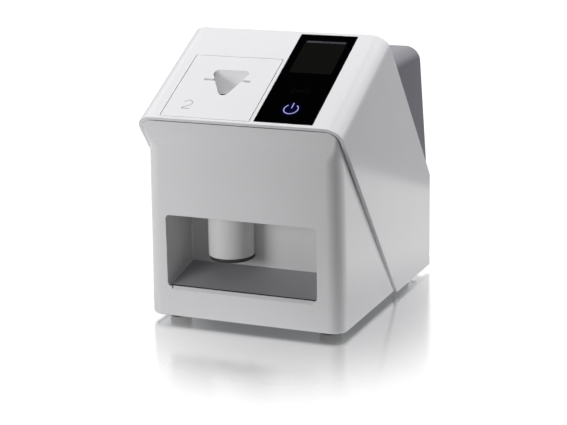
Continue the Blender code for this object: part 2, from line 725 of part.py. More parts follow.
def make_chute():
    """The round outlet that hangs in the bay, and the dark ring that ends it."""
    bore = CHUTE_RADIUS - CHUTE_WALL
    flange_top = CHUTE_FLANGE_BOTTOM + CHUTE_FLANGE_THICK
    wide = CHUTE_RADIUS + CHUTE_FLANGE
    profile = ((wide, flange_top), (wide, CHUTE_FLANGE_BOTTOM), (CHUTE_RADIUS, CHUTE_FLANGE_BOTTOM),
               (CHUTE_RADIUS, CHUTE_END_HEIGHT), (bore, CHUTE_END_HEIGHT), (bore, flange_top))
    place = (PATH_X, PATH_Y, 0)
    turned("outlet_chute", profile, place, CHUTE_GREY)
    ring_radius = CHUTE_RADIUS - RING_STEP
    tube("outlet_ring", ring_radius - RING_WIDTH, ring_radius,
         CHUTE_END_HEIGHT - GAP - RING_HEIGHT, RING_HEIGHT, place, RUBBER)


def make_rear_cover():
    """The slate rear cover: a wedge that fills the hood's slanting back."""
    end_z = BACK_CORNER_HEIGHT + COVER_END_RISE
    outer = ((slant_y(COVER_TOP, GAP), COVER_TOP), (slant_y(end_z, GAP), end_z),
             (cover_back_y(end_z), end_z), (cover_back_y(COVER_TOP), COVER_TOP))
    cover = side_prism("rear_cover", outer, COVER_HALF, COVER_GREY)

    def top_edge(start, end):
        level = abs(start.z - end.z) < GAP and start.z > COVER_TOP - GAP
        return level and abs(start.x - end.x) < GAP

    round_edges(cover, COVER_ROUND, 6, top_edge)
    low_in = end_z + COVER_WALL
    top_in = COVER_TOP - COVER_WALL
    inner = ((slant_y(top_in) - OVERRUN, top_in), (slant_y(low_in) - OVERRUN, low_in),
             (cover_back_y(low_in, COVER_WALL), low_in),
             (cover_back_y(top_in, COVER_WALL), top_in))
    hollow = side_prism("cover_hollow", inner, COVER_HALF - COVER_WALL, group=cutters)

    def top_inside(start, end):
        level = abs(start.z - end.z) < GAP and start.z > top_in - GAP
        return level and abs(start.x - end.x) < GAP

    round_edges(hollow, COVER_ROUND - COVER_WALL, 6, top_inside)
    cut(cover, hollow)
    return cover


def pair(name, low, high):
    """The left and the right of two sides, as names with their signs."""
    return ((f"{name}_left", low), (f"{name}_right", high))


def screw(name, seat, turn=(0, 0, 0)):
    """A pan-head screw: its head's seat is its origin and its shank runs along +Z."""
    profile = ((0, SCREW_LENGTH), (SCREW_RADIUS, SCREW_LENGTH), (SCREW_RADIUS, 0),
               (SCREW_HEAD_RADIUS, 0), (SCREW_HEAD_RADIUS, -SCREW_HEAD_HEIGHT),
               (0, -SCREW_HEAD_HEIGHT))
    made = turned(name, profile, seat, STEEL, sides=SMALL_SEGMENTS)
    made.rotation_euler = turn
    return made


def make_base(hood):
    """The sheet base plate, narrow inside the housing, with its feet and the hood's screws."""
    wide = INNER_HALF - GAP
    narrow = HOUSING_HALF_FOOT - HOUSING_WALL - BASE_SIDE_MARGIN
    step_y = rim_y(BASE_TOP) + BOSS_LENGTH
    front = FACE_Y + BASE_FRONT_MARGIN
    base = outline_solid("base_plate", rounded_box(
        -narrow, narrow, front, REAR_PANEL_BACK - BASE_SIDE_MARGIN,
        HOUSING_ROUND - HOUSING_WALL), BASE_THICK, ZINC)
    base.location.z = BASE_BOTTOM + BASE_THICK / 2
    join(base, box("base_wings", (-wide, step_y, BASE_BOTTOM), (wide, REAR_PANEL_BACK, BASE_TOP),
                   group=cutters))
    for place, setback in (("front", FOOT_FRONT_SETBACK), ("back", FOOT_BACK_SETBACK)):
        for name, side in pair(f"foot_{place}", -FOOT_X, FOOT_X):
            rod(name, FOOT_RADIUS, (side, LIP_Y + setback, 0), BASE_BOTTOM - GAP, "Z", RUBBER)
    screw_x = INNER_HALF - BOSS_WIDTH / 2
    for place, setback in (("front", BOSS_FRONT_SETBACK), ("back", BOSS_BACK_SETBACK)):
        for name, side in pair(f"base_screw_{place}", -screw_x, screw_x):
            spot = (side, LIP_Y + setback)
            hole = rod(name + "_hole", SCREW_RADIUS + GAP, (*spot, BASE_BOTTOM - OVERRUN),
                       SCREW_LENGTH + OVERRUN, group=cutters)
            cut(base, hole)
            cut(hood, hole)
            screw(name, (*spot, BASE_BOTTOM - GAP))
    for across in (-1, 1):
        for along in (0, 1):
            post_x = POWER_BOARD_X + across * (POWER_BOARD_WIDTH / 2 - BOARD_HOLE_MARGIN)
            post_y = POWER_BOARD_Y + BOARD_HOLE_MARGIN
            post_y += along * (POWER_BOARD_LENGTH - 2 * BOARD_HOLE_MARGIN)
            post = rod(f"power_post_{across}_{along}", BOARD_BOSS_RADIUS,
                       (post_x, post_y, BASE_TOP - BASE_THICK / 2),
                       POWER_BOARD_RISE + BASE_THICK / 2, group=cutters)
            join(base, post)


def make_insert():
    """The lift-out insert with its funnel, and the seat that it rests on under the hood."""
    insert = outline_solid("plate_insert", rounded_box(
        INSERT_LEFT, INSERT_RIGHT, INSERT_START, INSERT_END, INSERT_CORNER), HOOD_WALL, WHITE)
    on_panel(insert).location.z = -HOOD_WALL / 2

    def mouth(grow, level):
        half, tip = FUNNEL_HALF_WIDTH, FUNNEL_TIP_SHIFT
        centres = ((tip, -FUNNEL_FALL), (half, FUNNEL_RISE), (-half, FUNNEL_RISE))
        return [(PATH_X + across, FUNNEL_PLACE + along, level)
                for across, along in rounded(centres, FUNNEL_ROUND + grow, 8)]

    def throat(grow, level):
        centres = ((0, -THROAT_FALL), (THROAT_HALF_WIDTH, THROAT_RISE),
                   (-THROAT_HALF_WIDTH, THROAT_RISE))
        return [(PATH_X + across, THROAT_PLACE + along, level)
                for across, along in rounded(centres, THROAT_ROUND + grow, 8)]

    body = loft("funnel_body", (throat(FUNNEL_WALL, -FUNNEL_DEPTH),
                                mouth(FUNNEL_WALL, -HOOD_WALL / 2)), group=cutters)
    join(insert, on_panel(body))
    # The hollow runs a little past both ends of the body on the same slant
    past = OVERRUN / FUNNEL_DEPTH
    low, high = throat(0, -FUNNEL_DEPTH), mouth(0, 0)
    over = [tuple(Vector(top) + (Vector(top) - Vector(end)) * past)
            for end, top in zip(low, high)]
    under = [(across, along, level - OVERRUN) for across, along, level in low]
    for name, first, last in (("funnel_hollow", low, over), ("throat_hollow", under, low)):
        cut(insert, on_panel(loft(name, (first, last), group=cutters)))
    # The notches take a plate's two long edges, and a plate drops straight down from them
    notch = PATH_SETBACK / cos(PANEL_ANGLE)
    slot = outline_solid("plate_notch", rounded_box(
        PATH_X - SLOT_HALF_WIDTH, PATH_X + SLOT_HALF_WIDTH, notch - SLOT_WIDTH / 2,
        notch + SLOT_WIDTH / 2, SLOT_WIDTH / 2 - GAP), 2 * SLOT_DEPTH, group=cutters)
    cut(insert, on_panel(slot))
    cut(insert, box("plate_pass", (PATH_X - PASS_HALF_WIDTH, PATH_Y - PASS_HALF_DEPTH, LIP_HEIGHT),
                    (PATH_X + PASS_HALF_WIDTH, PATH_Y + PASS_HALF_DEPTH, HEIGHT), group=cutters))

    seat = outline_solid("insert_seat", rounded_box(
        INSERT_LEFT - SEAT_MARGIN, INSERT_RIGHT + SEAT_MARGIN, INSERT_START - SEAT_MARGIN,
        INSERT_END + SEAT_MARGIN, INSERT_CORNER + SEAT_MARGIN), SEAT_THICK, BLACK)
    on_panel(seat).location.z = -HOOD_WALL - GAP - SEAT_THICK / 2
    # The hole passes every section of the funnel, from its wide mouth to its long throat
    side = THROAT_HALF_WIDTH + THROAT_ROUND - FUNNEL_ROUND
    sink = THROAT_PLACE - FUNNEL_PLACE
    centres = ((FUNNEL_TIP_SHIFT, -FUNNEL_FALL), (side, sink), (FUNNEL_HALF_WIDTH, FUNNEL_RISE),
               (-FUNNEL_HALF_WIDTH, FUNNEL_RISE), (-side, sink))
    ring = rounded(centres, FUNNEL_ROUND + FUNNEL_WALL + SEAT_HOLE_MARGIN, 4)
    hole = outline_solid("seat_hole", [(PATH_X + across, FUNNEL_PLACE + along)
                                       for across, along in ring],
                         4 * OVERRUN, group=cutters)
    cut(seat, on_panel(hole))


def make_display():
    """The black touch glass, the screen behind its window, and the board behind both."""
    glass = outline_solid("display_glass", rounded_box(
        GLASS_LEFT, GLASS_RIGHT, GLASS_START, GLASS_END, GLASS_CORNER), GLASS_THICK, GLASS)
    on_panel(glass).location.z = -GLASS_THICK / 2
    screen_top = -GLASS_THICK - 2 * GAP
    screen = box("display_panel", (SCREEN_LEFT, SCREEN_START, screen_top - SCREEN_THICK),
                 (SCREEN_RIGHT, SCREEN_END, screen_top), SCREEN)
    on_panel(screen)
    board_top = screen_top - SCREEN_THICK - GAP
    board = box("display_board", (GLASS_LEFT + DISPLAY_BOARD_MARGIN,
                                  GLASS_START + DISPLAY_BOARD_MARGIN, board_top - BOARD_THICK),
                (GLASS_RIGHT - DISPLAY_BOARD_MARGIN, GLASS_END - DISPLAY_BOARD_MARGIN,
                 board_top), BOARD)
    on_panel(board)


def make_frame():
    """The folded sheet frame: a deck over the bay, an upright behind it and a foot."""
    front = LIP_Y + DECK_FRONT_SETBACK
    back = UPRIGHT_Y + FRAME_THICK
    side = ((front, DECK_BOTTOM), (UPRIGHT_Y, DECK_BOTTOM), (UPRIGHT_Y, BASE_TOP + GAP),
            (UPRIGHT_Y + UPRIGHT_FOOT, BASE_TOP + GAP),
            (UPRIGHT_Y + UPRIGHT_FOOT, BASE_TOP + GAP + FRAME_THICK),
            (back, BASE_TOP + GAP + FRAME_THICK), (back, UPRIGHT_HEIGHT),
            (UPRIGHT_Y, UPRIGHT_HEIGHT), (UPRIGHT_Y, DECK_TOP), (front, DECK_TOP))
    frame = side_prism("scanner_frame", side, (DECK_RIGHT - DECK_LEFT) / 2, ZINC)
    frame.location.x = (DECK_RIGHT + DECK_LEFT) / 2
    cut(frame, rod("deck_hole", CHUTE_RADIUS - CHUTE_WALL, (PATH_X, PATH_Y, DECK_BOTTOM - OVERRUN),
                   2 * OVERRUN, group=cutters, sides=SEGMENTS))
    cut(frame, rod("beam_hole", BEAM_RADIUS, (PATH_X, UPRIGHT_Y - OVERRUN, SCAN_HEIGHT),
                   2 * OVERRUN, "Y", group=cutters))
    for across in (-1, 1):
        for height in (MAIN_BOARD_BOTTOM + BOARD_HOLE_MARGIN, MAIN_BOARD_TOP - BOARD_HOLE_MARGIN):
            boss_x = MAIN_BOARD_X + across * (MAIN_BOARD_WIDTH / 2 - BOARD_HOLE_MARGIN)
            boss = rod(f"board_boss_{across}_{height}", BOARD_BOSS_RADIUS,
                       (boss_x, UPRIGHT_Y + FRAME_THICK / 2, height),
                       FRAME_THICK / 2 + BOARD_BOSS_LENGTH, "Y", group=cutters)
            join(frame, boss)


def roller_place(level, side):
    """Where a roller's axis lies: level picks its belt and end, side is -1 at the front."""
    return (PATH_X, PATH_Y + side * BELT_OFFSET, level)


def make_drive():
    """The plate drive: two side plates, four belts on eight rollers, and the drive motor."""
    plates = []
    for name, side in pair("side_plate", -1, 1):
        near, far = side * SIDE_PLATE_OFFSET, side * (SIDE_PLATE_OFFSET + SIDE_PLATE_THICK)
        plates.append(box(name, (PATH_X + min(near, far), PATH_Y - SIDE_PLATE_HALF_DEPTH,
                                 DECK_TOP + GAP),
                          (PATH_X + max(near, far), PATH_Y + SIDE_PLATE_HALF_DEPTH,
                           SIDE_PLATE_TOP), ALUMINIUM))
    reach = SIDE_PLATE_OFFSET + SIDE_PLATE_THICK
    window = box("beam_window", (PATH_X - reach - OVERRUN, PATH_Y - SIDE_PLATE_HALF_DEPTH / 2,
                                 SCAN_HEIGHT - BEAM_WINDOW_HEIGHT / 2),
                 (PATH_X + reach + OVERRUN, PATH_Y + SIDE_PLATE_HALF_DEPTH / 2,
                  SCAN_HEIGHT + BEAM_WINDOW_HEIGHT / 2), group=cutters)
    for plate in plates:
        cut(plate, window)
    half = ROLLER_LENGTH / 2
    profile = ((0, reach), (SHAFT_RADIUS, reach), (SHAFT_RADIUS, half), (ROLLER_RADIUS, half),
               (ROLLER_RADIUS, -half), (SHAFT_RADIUS, -half), (SHAFT_RADIUS, -reach), (0, -reach))
    for stage, drops in ROLLER_DROPS.items():
        heights = [LIP_HEIGHT - drop for drop in drops]
        for place, side in (("front", -1), ("back", 1)):
            for end, level in zip(("bottom", "top"), heights):
                spot = roller_place(level, side)
                roller = turned(f"roller_{stage}_{place}_{end}", profile, spot, BLACK,
                                sides=SMALL_SEGMENTS)
                roller.rotation_euler = (0, pi / 2, 0)
                bearing = rod(f"bearing_{stage}_{place}_{end}", SHAFT_RADIUS + SHAFT_CLEARANCE,
                              (PATH_X - reach - OVERRUN, spot[1], level),
                              2 * (reach + OVERRUN), "X", group=cutters)
                for plate in plates:
                    cut(plate, bearing)
            make_belt(f"belt_{stage}_{place}", heights, side)
    motor_x = PATH_X + reach + GAP
    top = roller_place(LIP_HEIGHT - ROLLER_DROPS["upper"][1], -1)
    rod("drive_motor", DRIVE_MOTOR_RADIUS, (motor_x, top[1], top[2]), DRIVE_MOTOR_LENGTH, "X",
        STEEL, sides=SEGMENTS)


def make_belt(name, heights, side):
    """One flat belt round its two rollers."""
    centres = tuple((PATH_Y + side * BELT_OFFSET, level) for level in heights)
    inner = ROLLER_RADIUS + GAP
    belt = side_prism(name, rounded(centres, inner + BELT_THICK, 10), BELT_WIDTH / 2, RUBBER)
    belt.location.x = PATH_X
    hollow = side_prism(name + "_hollow", rounded(centres, inner, 10), BELT_WIDTH,
                        group=cutters)
    hollow.location.x = PATH_X
    cut(belt, hollow)


def make_scan_ring():
    """The ring housing on three legs, its lid, the turning prism ring and what turns it."""
    place = (PATH_X, PATH_Y, 0)
    outer, bore = SCAN_HOUSING_RADIUS, SCAN_HOUSING_BORE
    low = SCAN_HOUSING_BOTTOM
    top = low + SCAN_HOUSING_HEIGHT
    floor = low + SCAN_HOUSING_WALL
    wall = outer - SCAN_HOUSING_WALL
    housing = turned("scan_housing", ((outer, top), (outer, low), (bore, low), (bore, floor),
                                      (wall, floor), (wall, top)), place, BLACK)
    for index in range(3):
        turn = pi / 3 + index * 2 * pi / 3
        ring = outer - SCAN_LEG_RADIUS
        leg = rod(f"scan_leg_{index}", SCAN_LEG_RADIUS,
                  (PATH_X + ring * cos(turn), PATH_Y + ring * sin(turn), DECK_TOP + GAP),
                  floor - SCAN_HOUSING_WALL / 2 - DECK_TOP - GAP, group=cutters)
        join(housing, leg)
    gate = WHEEL_RADIUS + 3 * GAP
    cut(housing, box("wheel_window", (PATH_X + wall - OVERRUN / 2, PATH_Y - gate,
                                      SCAN_HEIGHT - WHEEL_HEIGHT / 2 - 2 * GAP),
                     (PATH_X + outer + OVERRUN, PATH_Y + gate, top + OVERRUN), group=cutters))
    cut(housing, rod("laser_window", BEAM_RADIUS, (PATH_X, PATH_Y + bore, SCAN_HEIGHT),
                     outer - bore + OVERRUN, "Y", group=cutters))
    cut(housing, rod("light_window", BEAM_RADIUS, (PATH_X - outer - OVERRUN, PATH_Y, SCAN_HEIGHT),
                     outer - bore + OVERRUN, "X", group=cutters))
    tube("scan_lid", bore, outer, top + GAP, SCAN_LID_THICK, place, BLACK)

    rotor_low = -ROTOR_HEIGHT / 2
    rotor = tube("scan_rotor", ROTOR_BORE, ROTOR_RADIUS, rotor_low, ROTOR_HEIGHT,
                 (PATH_X, PATH_Y, SCAN_HEIGHT), ALUMINIUM, sides=2 * SEGMENTS)
    cut(rotor, rod("prism_hole", PRISM_HOLE_RADIUS, (PATH_X, PATH_Y, SCAN_HEIGHT),
                   outer, "Y", group=cutters))
    motor_top = DECK_TOP + GAP + ROTOR_MOTOR_HEIGHT
    rod("rotor_motor", ROTOR_MOTOR_RADIUS, (WHEEL_X, PATH_Y, DECK_TOP + GAP), ROTOR_MOTOR_HEIGHT,
        "Z", STEEL, sides=SEGMENTS)
    half = WHEEL_HEIGHT / 2
    shaft_end = motor_top + GAP - SCAN_HEIGHT
    turned("rotor_wheel", ((0, half), (WHEEL_RADIUS, half), (WHEEL_RADIUS, -half),
                           (WHEEL_SHAFT_RADIUS, -half), (WHEEL_SHAFT_RADIUS, shaft_end),
                           (0, shaft_end)),
           (WHEEL_X, PATH_Y, SCAN_HEIGHT), RUBBER)


def make_optics():
    """The laser behind the upright, the light detector beside the ring, the erasing lights."""
    laser_y = UPRIGHT_Y + FRAME_THICK + GAP
    box("laser_module", (PATH_X - LASER_WIDTH / 2, laser_y, SCAN_HEIGHT - LASER_HEIGHT / 2),
        (PATH_X + LASER_WIDTH / 2, laser_y + LASER_LENGTH, SCAN_HEIGHT + LASER_HEIGHT / 2),
        ALUMINIUM)
    detector_x = PATH_X - SCAN_HOUSING_RADIUS - BASE_SIDE_MARGIN
    box("light_detector", (detector_x - DETECTOR_WIDTH, PATH_Y - DETECTOR_LENGTH / 2,
                           DECK_TOP + GAP),
        (detector_x, PATH_Y + DETECTOR_LENGTH / 2, DECK_TOP + GAP + DETECTOR_HEIGHT), BLACK)
    tube("erase_ring", ERASE_BORE, ERASE_RADIUS, DECK_TOP + GAP, ERASE_HEIGHT,
         (PATH_X, PATH_Y, 0), BOARD)


def make_guide():
    """The infeed guide on the side plates, which takes a plate from the funnel to the belts."""
    low = SIDE_PLATE_TOP + GAP
    guide = box("infeed_guide", (PATH_X - GUIDE_HALF_WIDTH, PATH_Y - GUIDE_HALF_DEPTH, low),
                (PATH_X + GUIDE_HALF_WIDTH, PATH_Y + GUIDE_HALF_DEPTH, low + GUIDE_HEIGHT), BLACK)
    inner = GUIDE_HALF_WIDTH - GUIDE_SIDE
    cut(guide, box("guide_slot", (PATH_X - inner, PATH_Y - GUIDE_SLOT / 2, low - OVERRUN),
                   (PATH_X + inner, PATH_Y + GUIDE_SLOT / 2, low + GUIDE_HEIGHT + OVERRUN),
                   group=cutters))


def make_boards():
    """The main board on the frame's bosses and the power board on the base's posts."""
    board_y = UPRIGHT_Y + FRAME_THICK + BOARD_BOSS_LENGTH + GAP
    half = MAIN_BOARD_WIDTH / 2
    box("main_board", (MAIN_BOARD_X - half, board_y, MAIN_BOARD_BOTTOM),
        (MAIN_BOARD_X + half, board_y + BOARD_THICK, MAIN_BOARD_TOP), BOARD)
    low = BASE_TOP + POWER_BOARD_RISE + GAP
    half = POWER_BOARD_WIDTH / 2
    box("power_board", (POWER_BOARD_X - half, POWER_BOARD_Y, low),
        (POWER_BOARD_X + half, POWER_BOARD_Y + POWER_BOARD_LENGTH, low + BOARD_THICK), BOARD)
    core = TRANSFORMER_SIZE / 2
    middle_y = POWER_BOARD_Y + POWER_BOARD_LENGTH / 2
    seat = low + BOARD_THICK + GAP
    box("supply_transformer", (POWER_BOARD_X - core, middle_y - core, seat),
        (POWER_BOARD_X + core, middle_y + core, seat + TRANSFORMER_HEIGHT), STEEL)


def make_fan():
    """The fan inside the rear panel: a square frame with arms and a post, and its rotor."""
    back = REAR_PANEL_FRONT - GAP
    front = back - FAN_DEPTH
    frame = box("fan_housing", (FAN_X - FAN_HALF, front, FAN_HEIGHT - FAN_HALF),
                (FAN_X + FAN_HALF, back, FAN_HEIGHT + FAN_HALF), BLACK)
    cut(frame, rod("fan_bore", FAN_BORE, (FAN_X, front - OVERRUN, FAN_HEIGHT),
                   FAN_DEPTH + 2 * OVERRUN, "Y", group=cutters, sides=SEGMENTS))
    reach = FAN_BORE + FAN_ARM_WIDTH / 2
    arm = FAN_ARM_WIDTH / 2
    for name, wide, tall in (("fan_arm_level", reach, arm), ("fan_arm_upright", arm, reach)):
        join(frame, box(name, (FAN_X - wide, front, FAN_HEIGHT - tall),
                        (FAN_X + wide, front + FAN_ARM_THICK, FAN_HEIGHT + tall), group=cutters))
    hub_start = front + FAN_ARM_THICK + FAN_TIP_GAP
    join(frame, rod("fan_post", FAN_POST_RADIUS, (FAN_X, front + FAN_ARM_THICK / 2, FAN_HEIGHT),
                    FAN_HUB_LENGTH, "Y", group=cutters))
    rotor = tube("fan_rotor", FAN_POST_RADIUS + GAP, FAN_HUB_RADIUS, 0, FAN_HUB_LENGTH,
                 (FAN_X, hub_start, FAN_HEIGHT), BLACK)
    rotor.rotation_euler = (-pi / 2, 0, 0)
    root = FAN_HUB_RADIUS - FAN_BLADE_THICK
    tip = FAN_BORE - FAN_TIP_GAP
    wide = FAN_HUB_LENGTH * 3 / 4
    for index in range(FAN_BLADE_COUNT):
        blade = box(f"fan_blade_{index}", (root, -wide / 2, -FAN_BLADE_THICK / 2),
                    (tip, wide / 2, FAN_BLADE_THICK / 2), group=cutters)
        turn = Matrix.Rotation(2 * pi * index / FAN_BLADE_COUNT, 4, "Y")
        seat = Matrix.Translation((FAN_X, hub_start + FAN_HUB_LENGTH / 2, FAN_HEIGHT))
        tilt = Matrix.Rotation(FAN_BLADE_TILT, 4, "X")
        blade.matrix_world = seat @ turn @ tilt @ Matrix.Translation(blade.location)
        join(rotor, blade)


def make_rear_panel():
    """The recessed sheet panel with vents, sockets, card slot and reset button."""
    half = COVER_HALF - COVER_WALL - GAP
    panel = box("rear_panel", (-half, REAR_PANEL_FRONT, BASE_TOP + GAP),
                (half, REAR_PANEL_BACK, REAR_PANEL_TOP), ZINC)
    for index in range(VENT_COUNT):
        level = VENT_FIRST_HEIGHT + index * VENT_PITCH
        vent = outline_solid(f"vent_{index}", rounded_box(
            FAN_X - VENT_LENGTH / 2, FAN_X + VENT_LENGTH / 2, level - VENT_WIDTH / 2,
            level + VENT_WIDTH / 2, VENT_WIDTH / 2 - GAP), 4 * REAR_PANEL_THICK, group=cutters)
        vent.rotation_euler = (pi / 2, 0, 0)
        vent.location = (0, REAR_PANEL_FRONT, 0)
        cut(panel, vent)

    def socket(name, middle_x, half_wide, half_tall, depth, finish):
        """A block through the panel, flush with its back, and the hole that it fits."""
        low_z, high_z = SOCKET_HEIGHT - half_tall, SOCKET_HEIGHT + half_tall
        cut(panel, box(name + "_cutout", (middle_x - half_wide - GAP, REAR_PANEL_FRONT - OVERRUN,
                                          low_z - GAP),
                       (middle_x + half_wide + GAP, REAR_PANEL_BACK + OVERRUN, high_z + GAP),
                       group=cutters))
        return box(name, (middle_x - half_wide, REAR_PANEL_BACK - depth, low_z),
                   (middle_x + half_wide, REAR_PANEL_BACK, high_z), finish)

    inlet = socket("power_inlet", INLET_X, INLET_HALF, INLET_HALF, INLET_DEPTH, BLACK)
    hole_y = REAR_PANEL_BACK - INLET_DEPTH + INLET_BORE
    cut(inlet, rod("inlet_bore", INLET_BORE, (INLET_X, hole_y, SOCKET_HEIGHT), INLET_DEPTH, "Y",
                   group=cutters))
    join(inlet, rod("inlet_pin", INLET_PIN, (INLET_X, hole_y - INLET_PIN, SOCKET_HEIGHT),
                    REAR_PANEL_BACK - hole_y, "Y", group=cutters))

    network = socket("network_socket", NETWORK_X, NETWORK_HALF, NETWORK_HEIGHT / 2,
                     NETWORK_DEPTH, STEEL)
    inner_half = NETWORK_HALF - NETWORK_WALL
    inner_tall = NETWORK_HEIGHT / 2 - NETWORK_WALL
    cut(network, box("network_hollow", (NETWORK_X - inner_half,
                                        REAR_PANEL_BACK - NETWORK_DEPTH + NETWORK_WALL,
                                        SOCKET_HEIGHT - inner_tall),
                     (NETWORK_X + inner_half, REAR_PANEL_BACK + OVERRUN,
                      SOCKET_HEIGHT + inner_tall), group=cutters))

    slot_half, slot_tall = CARD_HALF + GAP, CARD_THICK / 2 + GAP
    card_socket = socket("card_socket", CARD_X, slot_half + CARD_SOCKET_WALL,
                         slot_tall + CARD_SOCKET_WALL, CARD_SOCKET_DEPTH, STEEL)
    card_back = REAR_PANEL_BACK + CARD_PROUD
    card_front = card_back - CARD_LENGTH
    cut(card_socket, box("card_hollow", (CARD_X - slot_half, card_front - GAP,
                                         SOCKET_HEIGHT - slot_tall),
                         (CARD_X + slot_half, REAR_PANEL_BACK + OVERRUN,
                          SOCKET_HEIGHT + slot_tall), group=cutters))
    box("memory_card", (CARD_X - CARD_HALF, card_front, SOCKET_HEIGHT - CARD_THICK / 2),
        (CARD_X + CARD_HALF, card_back, SOCKET_HEIGHT + CARD_THICK / 2), BLUE)

    body_back = REAR_PANEL_FRONT - GAP
    body = box("reset_switch", (BUTTON_X - BUTTON_BODY_HALF, body_back - BUTTON_BODY_DEPTH,
                                SOCKET_HEIGHT - BUTTON_BODY_HALF),
               (BUTTON_X + BUTTON_BODY_HALF, body_back, SOCKET_HEIGHT + BUTTON_BODY_HALF), BLACK)
    bore = rod("button_bore", BUTTON_RADIUS + GAP,
               (BUTTON_X, body_back - BUTTON_BODY_DEPTH / 2, SOCKET_HEIGHT), 2 * OVERRUN, "Y",
               group=cutters)
    cut(body, bore)
    cut(panel, bore)
    button_start = body_back - BUTTON_BODY_DEPTH / 2 + BUTTON_TRAVEL + GAP
    rod("reset_button", BUTTON_RADIUS, (BUTTON_X, button_start, SOCKET_HEIGHT),
        REAR_PANEL_BACK + BUTTON_PROUD - button_start, "Y", RUBBER)
    return panel


def fasten_cover(cover, panel):
    """The two screws that hold the rear cover to the rear panel."""
    lean = atan2(COVER_TOP_SETBACK, COVER_TOP - BACK_CORNER_HEIGHT)
    turn = (pi / 2 + lean, 0, 0)
    outward = Matrix.Rotation(turn[0], 3, "X") @ Vector((0, 0, -OVERRUN))
    level = BACK_CORNER_HEIGHT + COVER_SCREW_RISE
    for name, side in pair("cover_screw", -COVER_SCREW_X, COVER_SCREW_X):
        seat = Vector((side, cover_back_y(level, -GAP), level))
        screw(name, seat, turn)
        hole = rod(name + "_hole", SCREW_RADIUS + GAP, seat + outward,
                   SCREW_LENGTH + 2 * OVERRUN, group=cutters)
        hole.rotation_euler = turn
        cut(cover, hole)
        cut(panel, hole)


hood_shell = make_hood()
make_front_housing()
make_bay()
make_chute()
rear_cover = make_rear_cover()
make_base(hood_shell)
make_insert()
make_display()
make_frame()
make_drive()
make_scan_ring()
make_optics()
make_guide()
make_boards()
make_fan()
rear_sheet = make_rear_panel()
fasten_cover(rear_cover, rear_sheet)
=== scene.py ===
"""Looks of the phosphor plate scanner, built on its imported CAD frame.

Metres, +Z up, front towards -Y, origin on the table under the middle of the scanner. After the
camera and the studio, each section is one piece of the real scanner or a group of like pieces,
in the order in which they are put together.
"""

from math import atan2, cos, hypot, pi, radians, sin, tan

import bmesh
import bpy
from mathutils import Matrix, Vector


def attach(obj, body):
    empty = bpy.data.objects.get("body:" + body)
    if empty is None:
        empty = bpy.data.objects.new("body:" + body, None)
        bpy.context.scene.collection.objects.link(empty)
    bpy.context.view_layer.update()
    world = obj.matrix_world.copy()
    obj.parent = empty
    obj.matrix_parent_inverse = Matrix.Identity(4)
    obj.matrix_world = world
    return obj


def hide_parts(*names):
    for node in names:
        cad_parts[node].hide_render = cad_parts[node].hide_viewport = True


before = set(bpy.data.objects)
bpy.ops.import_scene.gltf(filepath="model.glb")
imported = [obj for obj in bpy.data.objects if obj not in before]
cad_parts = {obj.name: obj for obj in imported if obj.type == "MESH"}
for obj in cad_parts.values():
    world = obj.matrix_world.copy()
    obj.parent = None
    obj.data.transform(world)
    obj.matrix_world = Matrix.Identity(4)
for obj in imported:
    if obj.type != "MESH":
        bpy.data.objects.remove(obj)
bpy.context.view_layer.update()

# Camera. A long lens, 23 degrees to the right of the front and 15 above it, about where the
# photograph was taken from. It is turned by a degree, as the photograph's table is.
AIM = Vector((0.00379, -0.0271, 0.0902))
AIM_DISTANCE, FARTHEST_SEEN = 1.5983, 50
AZIMUTH, ELEVATION, ROLL = radians(23.14), radians(14.9), radians(-1.05)
SENSOR_MM, FOCAL_MM = 36, 106.66

lens = bpy.data.cameras.new("camera")
lens.sensor_width = SENSOR_MM
lens.lens = FOCAL_MM
lens.clip_end = FARTHEST_SEEN
camera = bpy.data.objects.new("camera", lens)
bpy.context.scene.collection.objects.link(camera)
bpy.context.scene.camera = camera
back = Vector((sin(AZIMUTH) * cos(ELEVATION), -cos(AZIMUTH) * cos(ELEVATION), sin(ELEVATION)))
level = Vector((cos(AZIMUTH), sin(AZIMUTH), 0))
upward = back.cross(level)
right = level * cos(ROLL) + upward * sin(ROLL)
over = upward * cos(ROLL) - level * sin(ROLL)
camera.matrix_world = Matrix.Translation(AIM + back * AIM_DISTANCE) @ Matrix(
    (right, over, back)).transposed().to_4x4()

# Studio. A polished white table in a white room, with one soft box overhead, one low in front
# at the left and one behind at the right. Dull cards stand where the glossy faces reflect them.


def srgb(code):
    """The linear colour of an sRGB hex code, with full alpha."""
    channels = [int(code[place:place + 2], 16) / 255 for place in (1, 3, 5)]
    return (*[c / 12.92 if c <= 0.04045 else ((c + 0.055) / 1.055) ** 2.4 for c in channels], 1)


def add_node(tree, kind, sockets=(), **settings):
    """Add one node: its settings by name, and each socket's value or the output that feeds it."""
    made = tree.nodes.new(kind)
    for name, value in settings.items():
        setattr(made, name, value)
    for socket, value in sockets:
        if isinstance(value, bpy.types.NodeSocket):
            tree.links.new(value, made.inputs[socket])
        else:
            made.inputs[socket].default_value = value
    return made


def new_material(name):
    """An empty node material, its node tree and its Principled shader."""
    made = bpy.data.materials.new(name)
    made.use_nodes = True
    return made, made.node_tree, made.node_tree.nodes["Principled BSDF"]


def seen_directly(tree):
    """1 for camera, mirror and see-through rays, 0 for the light that bounces about."""
    path = add_node(tree, "ShaderNodeLightPath")
    either = add_node(tree, "ShaderNodeMath", ((0, path.outputs["Is Camera Ray"]),
                                               (1, path.outputs["Is Glossy Ray"])),
                      operation="MAXIMUM")
    return add_node(tree, "ShaderNodeMath", ((0, either.outputs[0]),
                                             (1, path.outputs["Is Transmission Ray"])),
                    operation="MAXIMUM").outputs[0]


